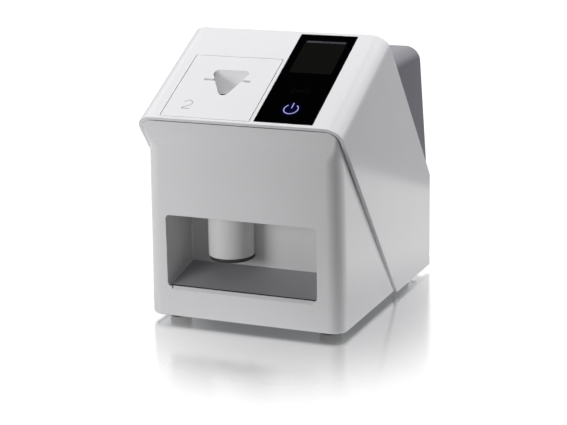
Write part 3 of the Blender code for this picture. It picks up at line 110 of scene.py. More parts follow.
def stage_sheet(name, corners, surface):
    """A flat sheet of the studio."""
    mesh = bpy.data.meshes.new(name)
    mesh.from_pydata(corners, [], [tuple(range(len(corners)))])
    mesh.materials.append(surface)
    made = bpy.data.objects.new(name, mesh)
    bpy.context.scene.collection.objects.link(made)
    return made


TABLE_HALF, TABLE_GLOW, TABLE_ROUGHNESS = 6.0, 0.95, 0.6
MIRROR_SHARE, MIRROR_FROM, MIRROR_TO = 0.90, 0.12, 0.34
MIRROR_ROUGHNESS, MIRROR_ACROSS = 0.16, 0.7
ROOM_STRENGTH = 0.06

# Polished white acrylic: the scanner's mirror image is strong at its feet and fades away,
# sooner across the view than along it
table_top, tree, shader = new_material("polished_white_acrylic")
shader.inputs["Base Color"].default_value = srgb("#565656")
shader.inputs["Roughness"].default_value = TABLE_ROUGHNESS
shader.inputs["Emission Color"].default_value = (1, 1, 1, 1)
glow = add_node(tree, "ShaderNodeMath", ((0, seen_directly(tree)), (1, TABLE_GLOW)),
                operation="MULTIPLY")
tree.links.new(glow.outputs[0], shader.inputs["Emission Strength"])
turned_place = add_node(tree, "ShaderNodeMapping", (
    (0, add_node(tree, "ShaderNodeTexCoord").outputs["Object"]), (2, (0, 0, AZIMUTH)),
    (3, (MIRROR_ACROSS, 1, 1))), vector_type="TEXTURE")
away = add_node(tree, "ShaderNodeVectorMath", ((0, turned_place.outputs[0]),), operation="LENGTH")
polish = add_node(tree, "ShaderNodeMapRange", (
    ("Value", away.outputs["Value"]), ("From Min", MIRROR_FROM), ("From Max", MIRROR_TO),
    ("To Min", MIRROR_SHARE), ("To Max", 0.0)), interpolation_type="SMOOTHSTEP")
mirror = add_node(tree, "ShaderNodeBsdfGlossy", (("Color", (1, 1, 1, 1)),
                                                 ("Roughness", MIRROR_ROUGHNESS)))
table_mix = add_node(tree, "ShaderNodeMixShader", (
    (0, polish.outputs[0]), (1, shader.outputs[0]), (2, mirror.outputs[0])))
tree.links.new(table_mix.outputs[0], tree.nodes["Material Output"].inputs["Surface"])
stage_sheet("table", [(x * TABLE_HALF, y * TABLE_HALF, 0)
                      for x, y in ((-1, -1), (1, -1), (1, 1), (-1, 1))], table_top)

room = bpy.data.worlds.new("studio")
room.use_nodes = True
bpy.context.scene.world = room
strength = add_node(room.node_tree, "ShaderNodeMapRange", (
    ("Value", seen_directly(room.node_tree)), ("To Min", ROOM_STRENGTH), ("To Max", 1.0)))
room_light = room.node_tree.nodes["Background"]
room_light.inputs["Color"].default_value = (1, 1, 1, 1)
room.node_tree.links.new(strength.outputs[0], room_light.inputs["Strength"])
bpy.context.scene.view_settings.view_transform = "Standard"


def soft_box(name, place, aim, width, height, power):
    """A flat rectangular lamp that faces a point and doesn't show in glossy faces."""
    lamp = bpy.data.lights.new(name, "AREA")
    lamp.shape = "RECTANGLE"
    lamp.size, lamp.size_y, lamp.energy = width, height, power
    made = bpy.data.objects.new(name, lamp)
    made.location = place
    made.rotation_euler = (Vector(aim) - Vector(place)).to_track_quat("-Z", "Y").to_euler()
    made.visible_glossy = False
    bpy.context.scene.collection.objects.link(made)


soft_box("overhead_box", (-0.03, 0.29, 1.8), (0, 0, 0.1), width=0.7, height=0.7, power=31)
soft_box("front_box", (-0.36, -0.57, 0.19), (0, -0.05, 0.1), width=0.30, height=0.2, power=1.85)
soft_box("right_box", (1.4, 0.80, 0.45), (0, 0, 0.1), width=0.9, height=0.6, power=12.9)


def card(name, corners, tone, shades=False):
    """A dull card that shows only as a reflection in the scanner's glossy faces."""
    surface, tree, shader = new_material(name)
    shader.inputs["Base Color"].default_value = (0, 0, 0, 1)
    shader.inputs["Specular IOR Level"].default_value = 0
    shader.inputs["Emission Color"].default_value = srgb(tone)
    shader.inputs["Emission Strength"].default_value = 1.0
    made = stage_sheet(name, corners, surface)
    for way in ("camera", "diffuse", "transmission", "volume_scatter"):
        setattr(made, "visible_" + way, False)
    made.visible_shadow = shades


def upright(start, end, low, high):
    """The corners of an upright sheet over a line on the table."""
    return (*start, low), (*end, low), (*end, high), (*start, high)


CARD_ABOVE_HEIGHT = 2.3
card("grey_card_behind", upright((0.16, 0.4297), (1.0, 0.872), low=0, high=0.3), "#78787F")
card("grey_card_left", upright((-0.9, -0.3), (-0.9, 0.9), low=0.02, high=1.1), "#8C8C92")
# Of the cards, only the one above casts a shadow
card("black_card_above", [(x, y, CARD_ABOVE_HEIGHT) for x, y in (
    (-1.655, -0.14), (0.9, -0.14), (0.9, 1.46), (-1.655, 1.46))], "#050505", shades=True)

# Base plate. Folded steel sheet that closes the underside and carries everything inside on
# posts. It is screwed up into the hood's four bosses.
LINE_CONTRAST, LINE_TROUGH, LINE_CREST = 0.06, 0.25, 0.75
BROKEN_EDGE, BROKEN_ANGLE = 0.0002, radians(50)


def worked_metal(name, colour, roughness, streak_mm, streak_length=12):
    """Bare or plated metal: its tone and gloss follow the fine lines that working it leaves."""
    made, tree, shader = new_material(name)
    shader.inputs["Metallic"].default_value = 1.0
    place = add_node(tree, "ShaderNodeMapping", (
        (0, add_node(tree, "ShaderNodeTexCoord").outputs["Object"]),
        (3, (1000 / streak_mm / streak_length, 1000 / streak_mm, 1000 / streak_mm))))
    lines = add_node(tree, "ShaderNodeTexNoise", (("Vector", place.outputs[0]), ("Scale", 1.0),
                                                  ("Detail", 3)))
    tone = srgb(colour)
    blend = add_node(tree, "ShaderNodeValToRGB", (("Fac", lines.outputs["Fac"]),))
    for end, spot, way in ((0, LINE_TROUGH, -1), (1, LINE_CREST, 1)):
        blend.color_ramp.elements[end].position = spot
        blend.color_ramp.elements[end].color = [
            min(1, c * (1 + way * LINE_CONTRAST)) for c in tone[:3]] + [1]
    tree.links.new(blend.outputs["Color"], shader.inputs["Base Color"])
    sheen = add_node(tree, "ShaderNodeMapRange", (
        ("Value", lines.outputs["Fac"]), ("From Min", LINE_TROUGH), ("From Max", LINE_CREST),
        ("To Min", roughness * 0.75), ("To Max", roughness * 1.25)))
    tree.links.new(sheen.outputs[0], shader.inputs["Roughness"])
    return made


def dressed(names, coat, edge=BROKEN_EDGE):
    """Give CAD nodes their material, and break their sharp edges as a maker would."""
    for name in names:
        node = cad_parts[name]
        node.material_slots[0].material = coat
        step = node.modifiers.new("broken_edges", "BEVEL")
        step.width, step.segments, step.limit_method = edge, 2, "ANGLE"
        step.angle_limit = BROKEN_ANGLE
        step.harden_normals = True


# Bright zinc plate on rolled sheet: a cool pale grey with long faint rolling lines
zinc_sheet = worked_metal("zinc_plated_steel_sheet", "#B4B9BE", roughness=0.38, streak_mm=1.5)
# Nickel-plated steel of screws and small cans: brighter and smoother
bright_steel = worked_metal("bright_plated_steel", "#CFCECB", roughness=0.24, streak_mm=0.5)
sides, ends = ("left", "right"), ("front", "back")
dressed(["base_plate"], zinc_sheet)
dressed([f"base_screw_{end}_{side}" for end in ends for side in sides], bright_steel)

# Feet. Four moulded black rubber buttons pushed into the base plate, which keep the scanner
# from sliding and leave a dark gap under it.
FOOT_EDGE = 0.0010
DRIFT_MM = 45


def moulded(name, colour, roughness, grain_mm, grain_depth_mm, drift=0.02, ior=1.53):
    """Moulded plastic or rubber: one colour that drifts a little, and the mould's own grain."""
    made, tree, shader = new_material(name)
    place = add_node(tree, "ShaderNodeTexCoord").outputs["Object"]
    flow = add_node(tree, "ShaderNodeTexNoise", (("Vector", place), ("Scale", 1000 / DRIFT_MM),
                                                 ("Detail", 3)))
    tone = srgb(colour)
    blend = add_node(tree, "ShaderNodeValToRGB", (("Fac", flow.outputs["Fac"]),))
    for end, spot, way in ((0, 0.3, -1), (1, 0.7, 1)):
        blend.color_ramp.elements[end].position = spot
        blend.color_ramp.elements[end].color = [c * (1 + way * drift) for c in tone[:3]] + [1]
    tree.links.new(blend.outputs["Color"], shader.inputs["Base Color"])
    grain = add_node(tree, "ShaderNodeTexNoise", (("Vector", place),
                                                  ("Scale", 1000 / grain_mm), ("Detail", 2)))
    sheen = add_node(tree, "ShaderNodeMapRange", (("Value", grain.outputs["Fac"]),
                                                  ("To Min", roughness * 0.9),
                                                  ("To Max", roughness * 1.1)))
    tree.links.new(sheen.outputs[0], shader.inputs["Roughness"])
    bump = add_node(tree, "ShaderNodeBump", (("Height", grain.outputs["Fac"]),
                                             ("Distance", grain_depth_mm / 1000)))
    tree.links.new(bump.outputs[0], shader.inputs["Normal"])
    shader.inputs["IOR"].default_value = ior
    return made


# Moulded rubber: near black, matt and faintly mottled
rubber = moulded("moulded_black_rubber", "#2B2B2C", roughness=0.62, grain_mm=1.0,
                 grain_depth_mm=0.03, drift=0.06, ior=1.52)
dressed([f"foot_{end}_{side}" for end in ends for side in sides], rubber, FOOT_EDGE)

# Plate drive. A bent sheet frame over and behind the bay carries two aluminium side plates,
# with eight rollers and four belts between them that draw the plate past the scan ring.

# Milled aluminium: brighter than the sheet, with short fine cutter lines
milled_aluminium = worked_metal("milled_aluminium", "#C9CBCD", roughness=0.30, streak_mm=0.7,
                                streak_length=6)
# Glass-filled nylon: black, with a dry fine surface
black_nylon = moulded("moulded_black_nylon", "#222224", roughness=0.48, grain_mm=0.9,
                      grain_depth_mm=0.015)
levels = ("lower", "upper")
dressed(["scanner_frame"], zinc_sheet)
dressed([f"side_plate_{side}" for side in sides], milled_aluminium)
dressed([f"roller_{level}_{end}_{place}" for level in levels for end in ends
         for place in ("top", "bottom")], black_nylon)
dressed([f"belt_{level}_{end}" for level in levels for end in ends], rubber)
dressed(["drive_motor"], bright_steel)

# Scan ring. A rotor with a prism turns in a round nylon housing on three legs, driven at its
# rim by a rubber wheel. The laser, the light detector and the erasing ring stand round it.
dressed(["scan_housing", "scan_lid", "light_detector"], black_nylon)
dressed(["scan_rotor", "laser_module"], milled_aluminium)
dressed(["rotor_wheel"], rubber)
dressed(["rotor_motor"], bright_steel)

# Infeed guide. A mouth moulded in black nylon under the insert. It takes the plate from the
# funnel and centres it on the belts.
dressed(["infeed_guide"], black_nylon)

# Circuit boards. Glass-fibre board under green lacquer, with a transformer on the power board.
# The tracks are drawn about three times as wide as real ones, so that they show.
TRACK_MM, PAD_MM = 9, 6
PAD_RIM, PAD_FACE = 0.16, 0.12
BOARD_TURN = (0.6, 0.5, 0.78)

green_board, tree, shader = new_material("lacquered_green_board")
place = add_node(tree, "ShaderNodeTexCoord").outputs["Object"]
bent = add_node(tree, "ShaderNodeMapping", ((0, place), (2, BOARD_TURN)))
tracks = add_node(tree, "ShaderNodeTexBrick", (
    ("Vector", bent.outputs[0]), ("Color1", srgb("#0D4426")), ("Color2", srgb("#11502D")),
    ("Mortar", srgb("#2E8A55")), ("Scale", 1000 / TRACK_MM), ("Mortar Size", 0.05)))
pads = add_node(tree, "ShaderNodeTexVoronoi", (("Vector", place), ("Scale", 1000 / PAD_MM)))
pad_edge = add_node(tree, "ShaderNodeMapRange", (
    ("Value", pads.outputs["Distance"]), ("From Min", PAD_RIM), ("From Max", PAD_FACE)))
tinned = add_node(tree, "ShaderNodeMix", ((0, pad_edge.outputs[0]), (6, tracks.outputs["Color"]),
                                          (7, srgb("#B9B7A8"))), data_type="RGBA")
tree.links.new(tinned.outputs[2], shader.inputs["Base Color"])
shader.inputs["Roughness"].default_value = 0.34
shader.inputs["IOR"].default_value = 1.55
dressed(["main_board", "power_board", "erase_ring"], green_board)
dressed(["supply_transformer"], bright_steel)

# Fan. A square frame and a seven-bladed rotor, both moulded in black nylon. It blows out
# through the rear vents.
dressed(["fan_housing", "fan_rotor"], black_nylon)

# Rear panel. Zinc-plated sheet with vents, and with the power inlet, the network socket, the
# card slot and the reset button in it.
dressed(["rear_panel"], zinc_sheet)
dressed(["network_socket", "card_socket"], bright_steel)
dressed(["power_inlet", "reset_switch"], black_nylon)
dressed(["reset_button"], rubber)
# The card's moulded shell is a deep blue
blue_shell = moulded("moulded_blue_card_shell", "#24407A", roughness=0.42, grain_mm=0.7,
                     grain_depth_mm=0.010)
dressed(["memory_card"], blue_shell)

# Hood. One injection-moulded shell of glossy white ABS: the sloping panel with its two
# long round edges and both sides, with a lip that stands over the front. Its wall is 4 mm
# thick, and the insert and the glass lie in openings of the panel.
HALF_WIDTH, DEPTH, HEIGHT = 0.100, 0.2513, 0.2604
FOOT_HEIGHT, LIP_HEIGHT, BACK_CORNER_HEIGHT = 0.0054, 0.1966, 0.100
RIDGE_SETBACK, RIM_FOOT_SETBACK = 0.1228, 0.1505
SHELL, SIDE_ROUND = 0.004, 0.0165
HOOD_EDGE, OPENING_EDGE = 0.0005, 0.00025
SHARP_ANGLE, EASED_ANGLE = radians(35), radians(30)
COVER_DROP, BACK_LAP = 0.0264, 0.006
GAP, OVERRUN = 0.0003, 0.010
# Left, right, start and end of the insert and of the glass, up the slope from the lip
INSERT = (-0.0752, 0.0127, 0.0036, 0.0945)
GLASS = (0.0170, 0.0730, 0.0041, 0.1343)
INSERT_CORNER, INSERT_CLEARANCE = 0.0012, 0.0005
GLASS_CORNER, GLASS_THICK = 0.0008, 0.0018

LIP_Y, BACK_Y = -DEPTH / 2, DEPTH / 2
RIDGE_Y, RIM_FOOT_Y = LIP_Y + RIDGE_SETBACK, LIP_Y + RIM_FOOT_SETBACK
SLOPE = atan2(HEIGHT - LIP_HEIGHT, RIDGE_Y - LIP_Y)
PANEL_LENGTH = hypot(HEIGHT - LIP_HEIGHT, RIDGE_Y - LIP_Y)
RIM_RUN = (RIM_FOOT_Y - LIP_Y) / (LIP_HEIGHT - FOOT_HEIGHT)
SLANT_RUN = (BACK_Y - RIDGE_Y) / (HEIGHT - BACK_CORNER_HEIGHT)


def rim_y(height, ahead):
    """Y at a height of a plane ahead of the hood's slanting front rim."""
    return RIM_FOOT_Y - (height - FOOT_HEIGHT) * RIM_RUN - ahead * hypot(1, RIM_RUN)


def slant_y(height, behind):
    """Y at a height of a plane behind the hood's slanting back edge."""
    return BACK_Y - (height - BACK_CORNER_HEIGHT) * SLANT_RUN + behind * hypot(1, SLANT_RUN)


def panel_z(place_y, below):
    """Height over a place of a plane below the sloping panel."""
    return LIP_HEIGHT + (place_y - LIP_Y) * tan(SLOPE) - below / cos(SLOPE)


def on_slope(across, along, out):
    """A point by its place on the sloping panel: across, up the slope, out of the surface."""
    return (across, LIP_Y + along * cos(SLOPE) - out * sin(SLOPE),
            LIP_HEIGHT + along * sin(SLOPE) + out * cos(SLOPE))


def skin(name, rings, joined=False):
    """A body as quads through rings of as many points each, with a cap at both ends.

    With joined, the last ring meets the first one instead.
    """
    body = bmesh.new()
    loops = [[body.verts.new(point) for point in ring] for ring in rings]
    if joined:
        loops.append(loops[0])
    else:
        body.faces.new(loops[0])
        body.faces.new(loops[-1])
    count = len(loops[0])
    for first, second in zip(loops, loops[1:]):
        for place in range(count):
            after = (place + 1) % count
            body.faces.new((first[place], first[after], second[after], second[place]))
    bmesh.ops.recalc_face_normals(body, faces=body.faces)
    mesh = bpy.data.meshes.new(name)
    body.to_mesh(mesh)
    body.free()
    made = bpy.data.objects.new(name, mesh)
    bpy.context.scene.collection.objects.link(made)
    return made


def side_slab(name, outline, half_width, middle=0.0):
    """A body with one side outline of (y, z) points, spread along X."""
    return skin(name, [[(middle + side * half_width, y, z) for y, z in outline]
                       for side in (-1, 1)])


def worked(piece, kind, **settings):
    """Put a piece through one modifier and keep what comes out as its mesh."""
    step = piece.modifiers.new(kind.lower(), kind)
    for name, value in settings.items():
        setattr(step, name, value)
    bpy.context.view_layer.update()
    done = bpy.data.meshes.new_from_object(
        piece.evaluated_get(bpy.context.evaluated_depsgraph_get()))
    piece.modifiers.clear()
    piece.data = done
    return piece


def carved(piece, *tools, way="DIFFERENCE"):
    """Cut shapes out of a piece, or add them to it, and clear the tools away."""
    for tool in tools:
        worked(piece, "BOOLEAN", operation=way, solver="EXACT", object=tool)
        bpy.data.objects.remove(tool, do_unlink=True)


def softened(piece, radius, steps, angle):
    """Round every edge that is sharper than an angle in degrees."""
    worked(piece, "BEVEL", width=radius, segments=steps, limit_method="ANGLE",
           angle_limit=radians(angle), use_clamp_overlap=True)


def edges_rounded(piece, radius, steps, chosen):
    """Round the edges that chosen(start, end) picks out."""
    body = bmesh.new()
    body.from_mesh(piece.data)
    weights = body.edges.layers.float.new("bevel_weight_edge")
    for edge in body.edges:
        edge[weights] = float(chosen(edge.verts[0].co, edge.verts[1].co))
    body.to_mesh(piece.data)
    body.free()
    return worked(piece, "BEVEL", width=radius, segments=steps, limit_method="WEIGHT")


def round_hull(centres, radius, steps):
    """The outline at one distance round a convex run of corner centres, anticlockwise."""
    points = []
    for place, corner in enumerate(centres):
        onward = centres[(place + 1) % len(centres)]
        start = atan2(corner[1] - centres[place - 1][1], corner[0] - centres[place - 1][0])
        sweep = (atan2(onward[1] - corner[1], onward[0] - corner[0]) - start) % (2 * pi)
        for step in range(steps + 1):
            turn = start - pi / 2 + sweep * step / steps
            points.append((corner[0] + radius * cos(turn), corner[1] + radius * sin(turn)))
    return points


def rounded_box(left, right_end, low, high, radius):
    """The outline of a rectangle with round corners."""
    return round_hull(((left + radius, low + radius), (right_end - radius, low + radius),
                       (right_end - radius, high - radius), (left + radius, high - radius)),
                      radius, steps=6)


def grown(sides, extra):
    """Left, right, low and high of a rectangle, all moved out."""
    return (sides[0] - extra, sides[1] + extra, sides[2] - extra, sides[3] + extra)


def slope_body(name, *levels):
    """A body through (outline, height out of the sloping panel) pairs."""
    return skin(name, [[on_slope(x, s, out) for x, s in outline] for outline, out in levels])


def finished(piece, coat, body, *stands_for, slot, edge=0.0):
    """Give a piece its material, smooth shading, its CAD body and the nodes it stands for."""
    piece.data.materials.clear()
    piece.data.materials.append(coat)
    piece.data.shade_smooth()
    piece.data.set_sharp_from_angle(angle=SHARP_ANGLE)
    if edge:
        step = piece.modifiers.new("broken_edges", "BEVEL")
        step.width, step.segments, step.limit_method = edge, 3, "ANGLE"
        step.angle_limit = EASED_ANGLE
    even = piece.modifiers.new("even_shading", "WEIGHTED_NORMAL")
    even.keep_sharp, even.weight = True, 100
    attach(piece, body)
    if stands_for:
        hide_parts(*stands_for)


# Gloss ABS from a polished mould: a clean near-white with soft, faintly wavy reflections
white_abs = moulded("gloss_moulded_white_abs", "#E8E8EA", roughness=0.15, grain_mm=6.0,
                    grain_depth_mm=0.004, drift=0.008)

hood = side_slab("hood_shell", (
    (LIP_Y, LIP_HEIGHT), (RIM_FOOT_Y, FOOT_HEIGHT), (BACK_Y, FOOT_HEIGHT),
    (BACK_Y, BACK_CORNER_HEIGHT), (RIDGE_Y, HEIGHT)), HALF_WIDTH)
edges_rounded(hood, SIDE_ROUND, 24, lambda start, end: (
    abs(start.x - end.x) < GAP and abs((end - start).length - PANEL_LENGTH) < GAP
    and min(start.z, end.z) > LIP_HEIGHT - GAP))
# The hood is open in front, below and behind, but for a short wall down from its ridge
wall_end = HEIGHT - COVER_DROP - BACK_LAP
start_y = slant_y(wall_end, -SHELL)
climb = (panel_z(start_y, SHELL) - wall_end) / (1 + tan(SLOPE) * SLANT_RUN)
ridge = (start_y - climb * SLANT_RUN, wall_end + climb)
ahead, behind = LIP_Y - OVERRUN, BACK_Y + OVERRUN
hollow = side_slab("hood_room", (
    (ahead, panel_z(ahead, SHELL)), (ahead, -OVERRUN), (behind, -OVERRUN), (behind, wall_end),
    (start_y, wall_end), ridge), HALF_WIDTH - SHELL)
edges_rounded(hollow, SIDE_ROUND - SHELL, 20, lambda start, end: (
    abs(start.x - end.x) < GAP and (end - start).length > PANEL_LENGTH / 2
    and max(start.z, end.z) > ridge[1] - GAP))
carved(hood, hollow)
softened(hood, HOOD_EDGE, steps=3, angle=40)
insert_hole = rounded_box(*grown(INSERT, INSERT_CLEARANCE), INSERT_CORNER + INSERT_CLEARANCE)
glass_bed = rounded_box(*grown(GLASS, GAP), GLASS_CORNER + GAP)
carved(hood,
       slope_body("insert_pocket", (insert_hole, -2 * OVERRUN), (insert_hole, OVERRUN)),
       slope_body("glass_bed", (glass_bed, -GLASS_THICK - GAP), (glass_bed, OVERRUN)))
softened(hood, OPENING_EDGE, steps=2, angle=50)
finished(hood, white_abs, "scanner", "hood", slot="gloss_white_abs")

# Front housing. A second white ABS moulding under the hood's lip: round corners at the front,
# a cove that sweeps out to the lip, a soft foot edge and the opening of the output bay.
FACE_SETBACK, TOP_DROP = 0.0101, 0.0036
HALF_AT_FOOT, HALF_AT_TOP = 0.0975, 0.0950
HOUSING_WALL, HOUSING_EDGE = 0.003, 0.0003
CORNER_ROUND, FOOT_ROUND = 0.014, 0.003
TIGHTEST_CORNER, TIGHTEST_INSIDE = 0.0015, 0.001
COVE_HEIGHT, COVE_POWER = 0.019, 1.25
SEAM, CORNER_TONGUE, SEAT_MARGIN = 0.00012, 0.012, 0.0012
BAY_LEFT, BAY_RIGHT, BAY_LOW, BAY_TOP = -0.0768, 0.0728, 0.0348, 0.1035
BAY_CORNER, SILL = 0.004, 0.0028

FACE_Y, HOUSING_TOP = LIP_Y + FACE_SETBACK, LIP_HEIGHT - TOP_DROP
bay_middle, bay_half = (BAY_LEFT + BAY_RIGHT) / 2, (BAY_RIGHT - BAY_LEFT) / 2


def quarter_turn(first, steps):
    """Angles at even steps through a quarter turn, with both ends."""
    return [first + 0.5 * pi * step / steps for step in range(steps + 1)]


def housing_ring(height, inset=0.0):
    """The housing's plan at a height: round front corners, sides that lean in, cove on top.

    The corners draw in under the lip as fast as its rim comes forward, so that no gap opens.
    """
    share = (height - FOOT_HEIGHT) / (HOUSING_TOP - FOOT_HEIGHT)
    half = HALF_AT_FOOT + (HALF_AT_TOP - HALF_AT_FOOT) * share - inset
    rise = max(0, height - HOUSING_TOP + COVE_HEIGHT) / COVE_HEIGHT
    flare = FACE_Y - rim_y(HOUSING_TOP, SEAM)
    front = FACE_Y + inset - flare * rise ** COVE_POWER
    to_rim = max(rim_y(height, SEAM) - front, TIGHTEST_CORNER)
    radius = max(min(CORNER_ROUND, to_rim) - inset, TIGHTEST_INSIDE)
    run = [(side * (half - radius) + radius * cos(turn), front + radius + radius * sin(turn))
           for side, first in ((-1, pi), (1, 1.5 * pi)) for turn in quarter_turn(first, 14)]
    far = RIM_FOOT_Y + OVERRUN
    return [(x, y, height) for x, y in run + [(half, far), (-half, far)]]


# Above this height the housing draws in and tucks in under the lip
tuck = HOUSING_TOP - 2 * COVE_HEIGHT
housing = skin("front_housing_shell", (
    [housing_ring(FOOT_HEIGHT + FOOT_ROUND * (1 - cos(turn)), FOOT_ROUND * (1 - sin(turn)))
     for turn in quarter_turn(0, 6)]
    + [housing_ring(tuck + 2 * COVE_HEIGHT * step / 32) for step in range(33)]))
# It ends at the hood's rim, but its two upper corners reach back inside the hood
over_top, far = HOUSING_TOP + 2 * OVERRUN, BACK_Y
corners_behind = side_slab("behind_corners", (
    (rim_y(-OVERRUN, SEAM), -OVERRUN), (far, -OVERRUN), (far, over_top),
    (rim_y(over_top, -CORNER_TONGUE), over_top), (rim_y(tuck, -CORNER_TONGUE), tuck),
    (rim_y(tuck, SEAM), tuck)), HALF_WIDTH + OVERRUN)
middle_behind = side_slab("behind_rim", (
    (rim_y(-OVERRUN, SEAM), -OVERRUN), (far, -OVERRUN), (far, over_top),
    (rim_y(over_top, SEAM), over_top)), -INSERT[0] + 2 * SEAT_MARGIN)
# What tucks in is trimmed to the room inside the hood, less the seam
near, back_end = LIP_Y - OVERRUN, RIM_FOOT_Y + OVERRUN
lip_room = side_slab("lip_room", (
    (near, panel_z(near, SHELL + SEAM)), (near, tuck - OVERRUN), (back_end, tuck - OVERRUN),
    (back_end, panel_z(back_end, SHELL + SEAM))), HALF_WIDTH - SHELL - SEAM)
edges_rounded(lip_room, SIDE_ROUND - SHELL - SEAM, 20, lambda start, end: (
    abs(start.x - end.x) < GAP and abs(end.y - start.y) > CORNER_ROUND
    and max(start.z, end.z) > HOUSING_TOP))
lip_trim = side_slab("lip_trim", (
    (near + OVERRUN / 2, tuck), (back_end - OVERRUN / 2, tuck),
    (back_end - OVERRUN / 2, HEIGHT + OVERRUN), (near + OVERRUN / 2, HEIGHT + OVERRUN)),
    HALF_WIDTH + OVERRUN)
carved(lip_trim, lip_room)
# The hollow is open below and ends where the cove starts
inside = [housing_ring(height, HOUSING_WALL)
          for height in [FOOT_HEIGHT] + [tuck + COVE_HEIGHT * step / 8 for step in range(9)]]
inside[0] = [(x, y, z - OVERRUN) for x, y, z in inside[0]]
opening = skin("bay_opening", [
    [(x, y, z) for x, z in rounded_box(BAY_LEFT, BAY_RIGHT, BAY_LOW, BAY_TOP, BAY_CORNER)]
    for y in (FACE_Y - OVERRUN, FACE_Y + 2 * HOUSING_WALL)])
sill = side_slab("sill_chamfer", (
    (FACE_Y - OVERRUN, BAY_LOW - SILL - OVERRUN), (FACE_Y - OVERRUN, BAY_LOW + GAP),
    (FACE_Y + SILL, BAY_LOW + GAP), (FACE_Y, BAY_LOW - SILL)), bay_half - BAY_CORNER, bay_middle)
carved(housing, corners_behind, middle_behind, lip_trim, skin("housing_room", inside),
       opening, sill)
softened(housing, HOUSING_EDGE, steps=2, angle=45)
finished(housing, white_abs, "scanner", "front_housing", slot="gloss_white_abs")

# Output bay. A liner moulded in satin grey ABS and clipped behind the housing's opening. Its
# floor falls to the front, so that a plate slides to the sill.
BAY_DEPTH, BAY_FLOOR_BACK, BAY_WALL = 0.0534, 0.0457, 0.0022
LINER_ROUND, LINER_EDGE = 0.0015, 0.0003
PATH_X, PATH_SETBACK, CHUTE_RADIUS = -0.0300, 0.0526, 0.0215
CHUTE_HOLE_LOW, CHUTE_HOLE_TOP = 0.0545, 0.1200

BAY_FRONT_Y, BAY_BACK_Y = FACE_Y + HOUSING_WALL + GAP, FACE_Y + BAY_DEPTH
PATH_Y = LIP_Y + PATH_SETBACK

# Satin ABS from a spark-eroded mould: a fine grain that breaks up the reflections
grey_abs = moulded("satin_moulded_grey_abs", "#D9D9DA", roughness=0.38, grain_mm=0.8,
                   grain_depth_mm=0.015)

bay = side_slab("bay_liner", (
    (BAY_FRONT_Y, BAY_LOW - BAY_WALL), (BAY_BACK_Y + BAY_WALL, BAY_FLOOR_BACK - BAY_WALL),
    (BAY_BACK_Y + BAY_WALL, BAY_TOP + BAY_WALL), (BAY_FRONT_Y, BAY_TOP + BAY_WALL)),
    bay_half + BAY_WALL, bay_middle)
fall = (BAY_FLOOR_BACK - BAY_LOW) / (BAY_BACK_Y - BAY_FRONT_Y)
bay_room = side_slab("bay_room", (
    (BAY_FRONT_Y - OVERRUN, BAY_LOW - fall * OVERRUN), (BAY_BACK_Y, BAY_FLOOR_BACK),
    (BAY_BACK_Y, BAY_TOP), (BAY_FRONT_Y - OVERRUN, BAY_TOP)), bay_half, bay_middle)
softened(bay_room, LINER_ROUND, steps=4, angle=30)


TURN_STEPS = 72


def turned(name, profile, joined=True):
    """A body turned round the plate's path, from a run of (radius, height) points."""
    return skin(name, [[(PATH_X + radius * cos(2 * pi * step / TURN_STEPS),
                         PATH_Y + radius * sin(2 * pi * step / TURN_STEPS), z)
                        for step in range(TURN_STEPS)] for radius, z in profile], joined)


# The outlet's hole goes through the liner's ceiling, and cuts into its back wall too
chute_hole = turned("chute_hole", [
    (CHUTE_RADIUS + GAP, height) for height in (CHUTE_HOLE_LOW, CHUTE_HOLE_TOP)], joined=False)
carved(bay, bay_room, chute_hole)
softened(bay, LINER_EDGE, steps=2, angle=50)
finished(bay, grey_abs, "scanner", "output_bay", slot="satin_grey_abs")

# Shade strip. Painted shade: a black strip stands in for the dark shadow in the joint between the
# liner's floor and the housing's sill. It is sunk a little into the floor, and its edges are
# eased.
SHADE_STRIP_RUN, SHADE_STRIP_SUNK, SHADE_STRIP_RISE, SHADE_STRIP_MARGIN = 0.0012, 0.0004, 0.0009, 0.0010

shade_strip_front, shade_strip_back = BAY_FRONT_Y - GAP, BAY_FRONT_Y + SHADE_STRIP_RUN
shade_strip = side_slab("sill_shade_strip", (
    (shade_strip_back, BAY_LOW - SHADE_STRIP_SUNK), (shade_strip_front, BAY_LOW - SHADE_STRIP_SUNK),
    (shade_strip_front, BAY_LOW + SHADE_STRIP_RISE - GAP), (BAY_FRONT_Y, BAY_LOW + SHADE_STRIP_RISE),
    (BAY_FRONT_Y + SHADE_STRIP_RUN / 2, BAY_LOW + SHADE_STRIP_RISE),
    (shade_strip_back, BAY_LOW + SHADE_STRIP_RISE - SHADE_STRIP_SUNK)), bay_half - SHADE_STRIP_MARGIN, bay_middle)
finished(shade_strip, rubber, "scanner", slot="black_rubber")

# Mat. A grey mat lies on the liner's floor behind the strip. It is painted shade: its darker grey
# stands in for the shade that falls on the bay's floor.
MAT_THICKNESS, MAT_BED, MAT_MARGIN = 0.0005, 0.00005, 0.0017

painted_shade_grey = moulded("painted_shade_grey_mat", "#A2A2A6", roughness=0.45, grain_mm=0.9,
                   grain_depth_mm=0.015)
mat_start, mat_end = shade_strip_back + GAP, BAY_BACK_Y - MAT_MARGIN
mat = side_slab("painted_shade_mat", [
    (y, BAY_LOW + fall * (y - BAY_FRONT_Y) + lift)
    for y, lift in ((mat_start, MAT_BED), (mat_end, MAT_BED), (mat_end, MAT_THICKNESS),
                    (mat_start, MAT_THICKNESS))], bay_half - MAT_MARGIN, bay_middle)
finished(mat, painted_shade_grey, "scanner", slot="satin_grey_abs")

# Outlet. A round chute of light grey ABS hangs in the bay from a flange above its ceiling. The
# black ring on its end is painted shade, standing in for the dark shadow under the chute's end.
CHUTE_WALL, CHUTE_END, CHUTE_EDGE = 0.0020, 0.0590, 0.0009
CHUTE_FLANGE, CHUTE_FLANGE_THICK = 0.0040, 0.0022
RING_HEIGHT, RING_STEP, RING_WIDTH, RING_EDGE = 0.0035, 0.0008, 0.0030, 0.0010
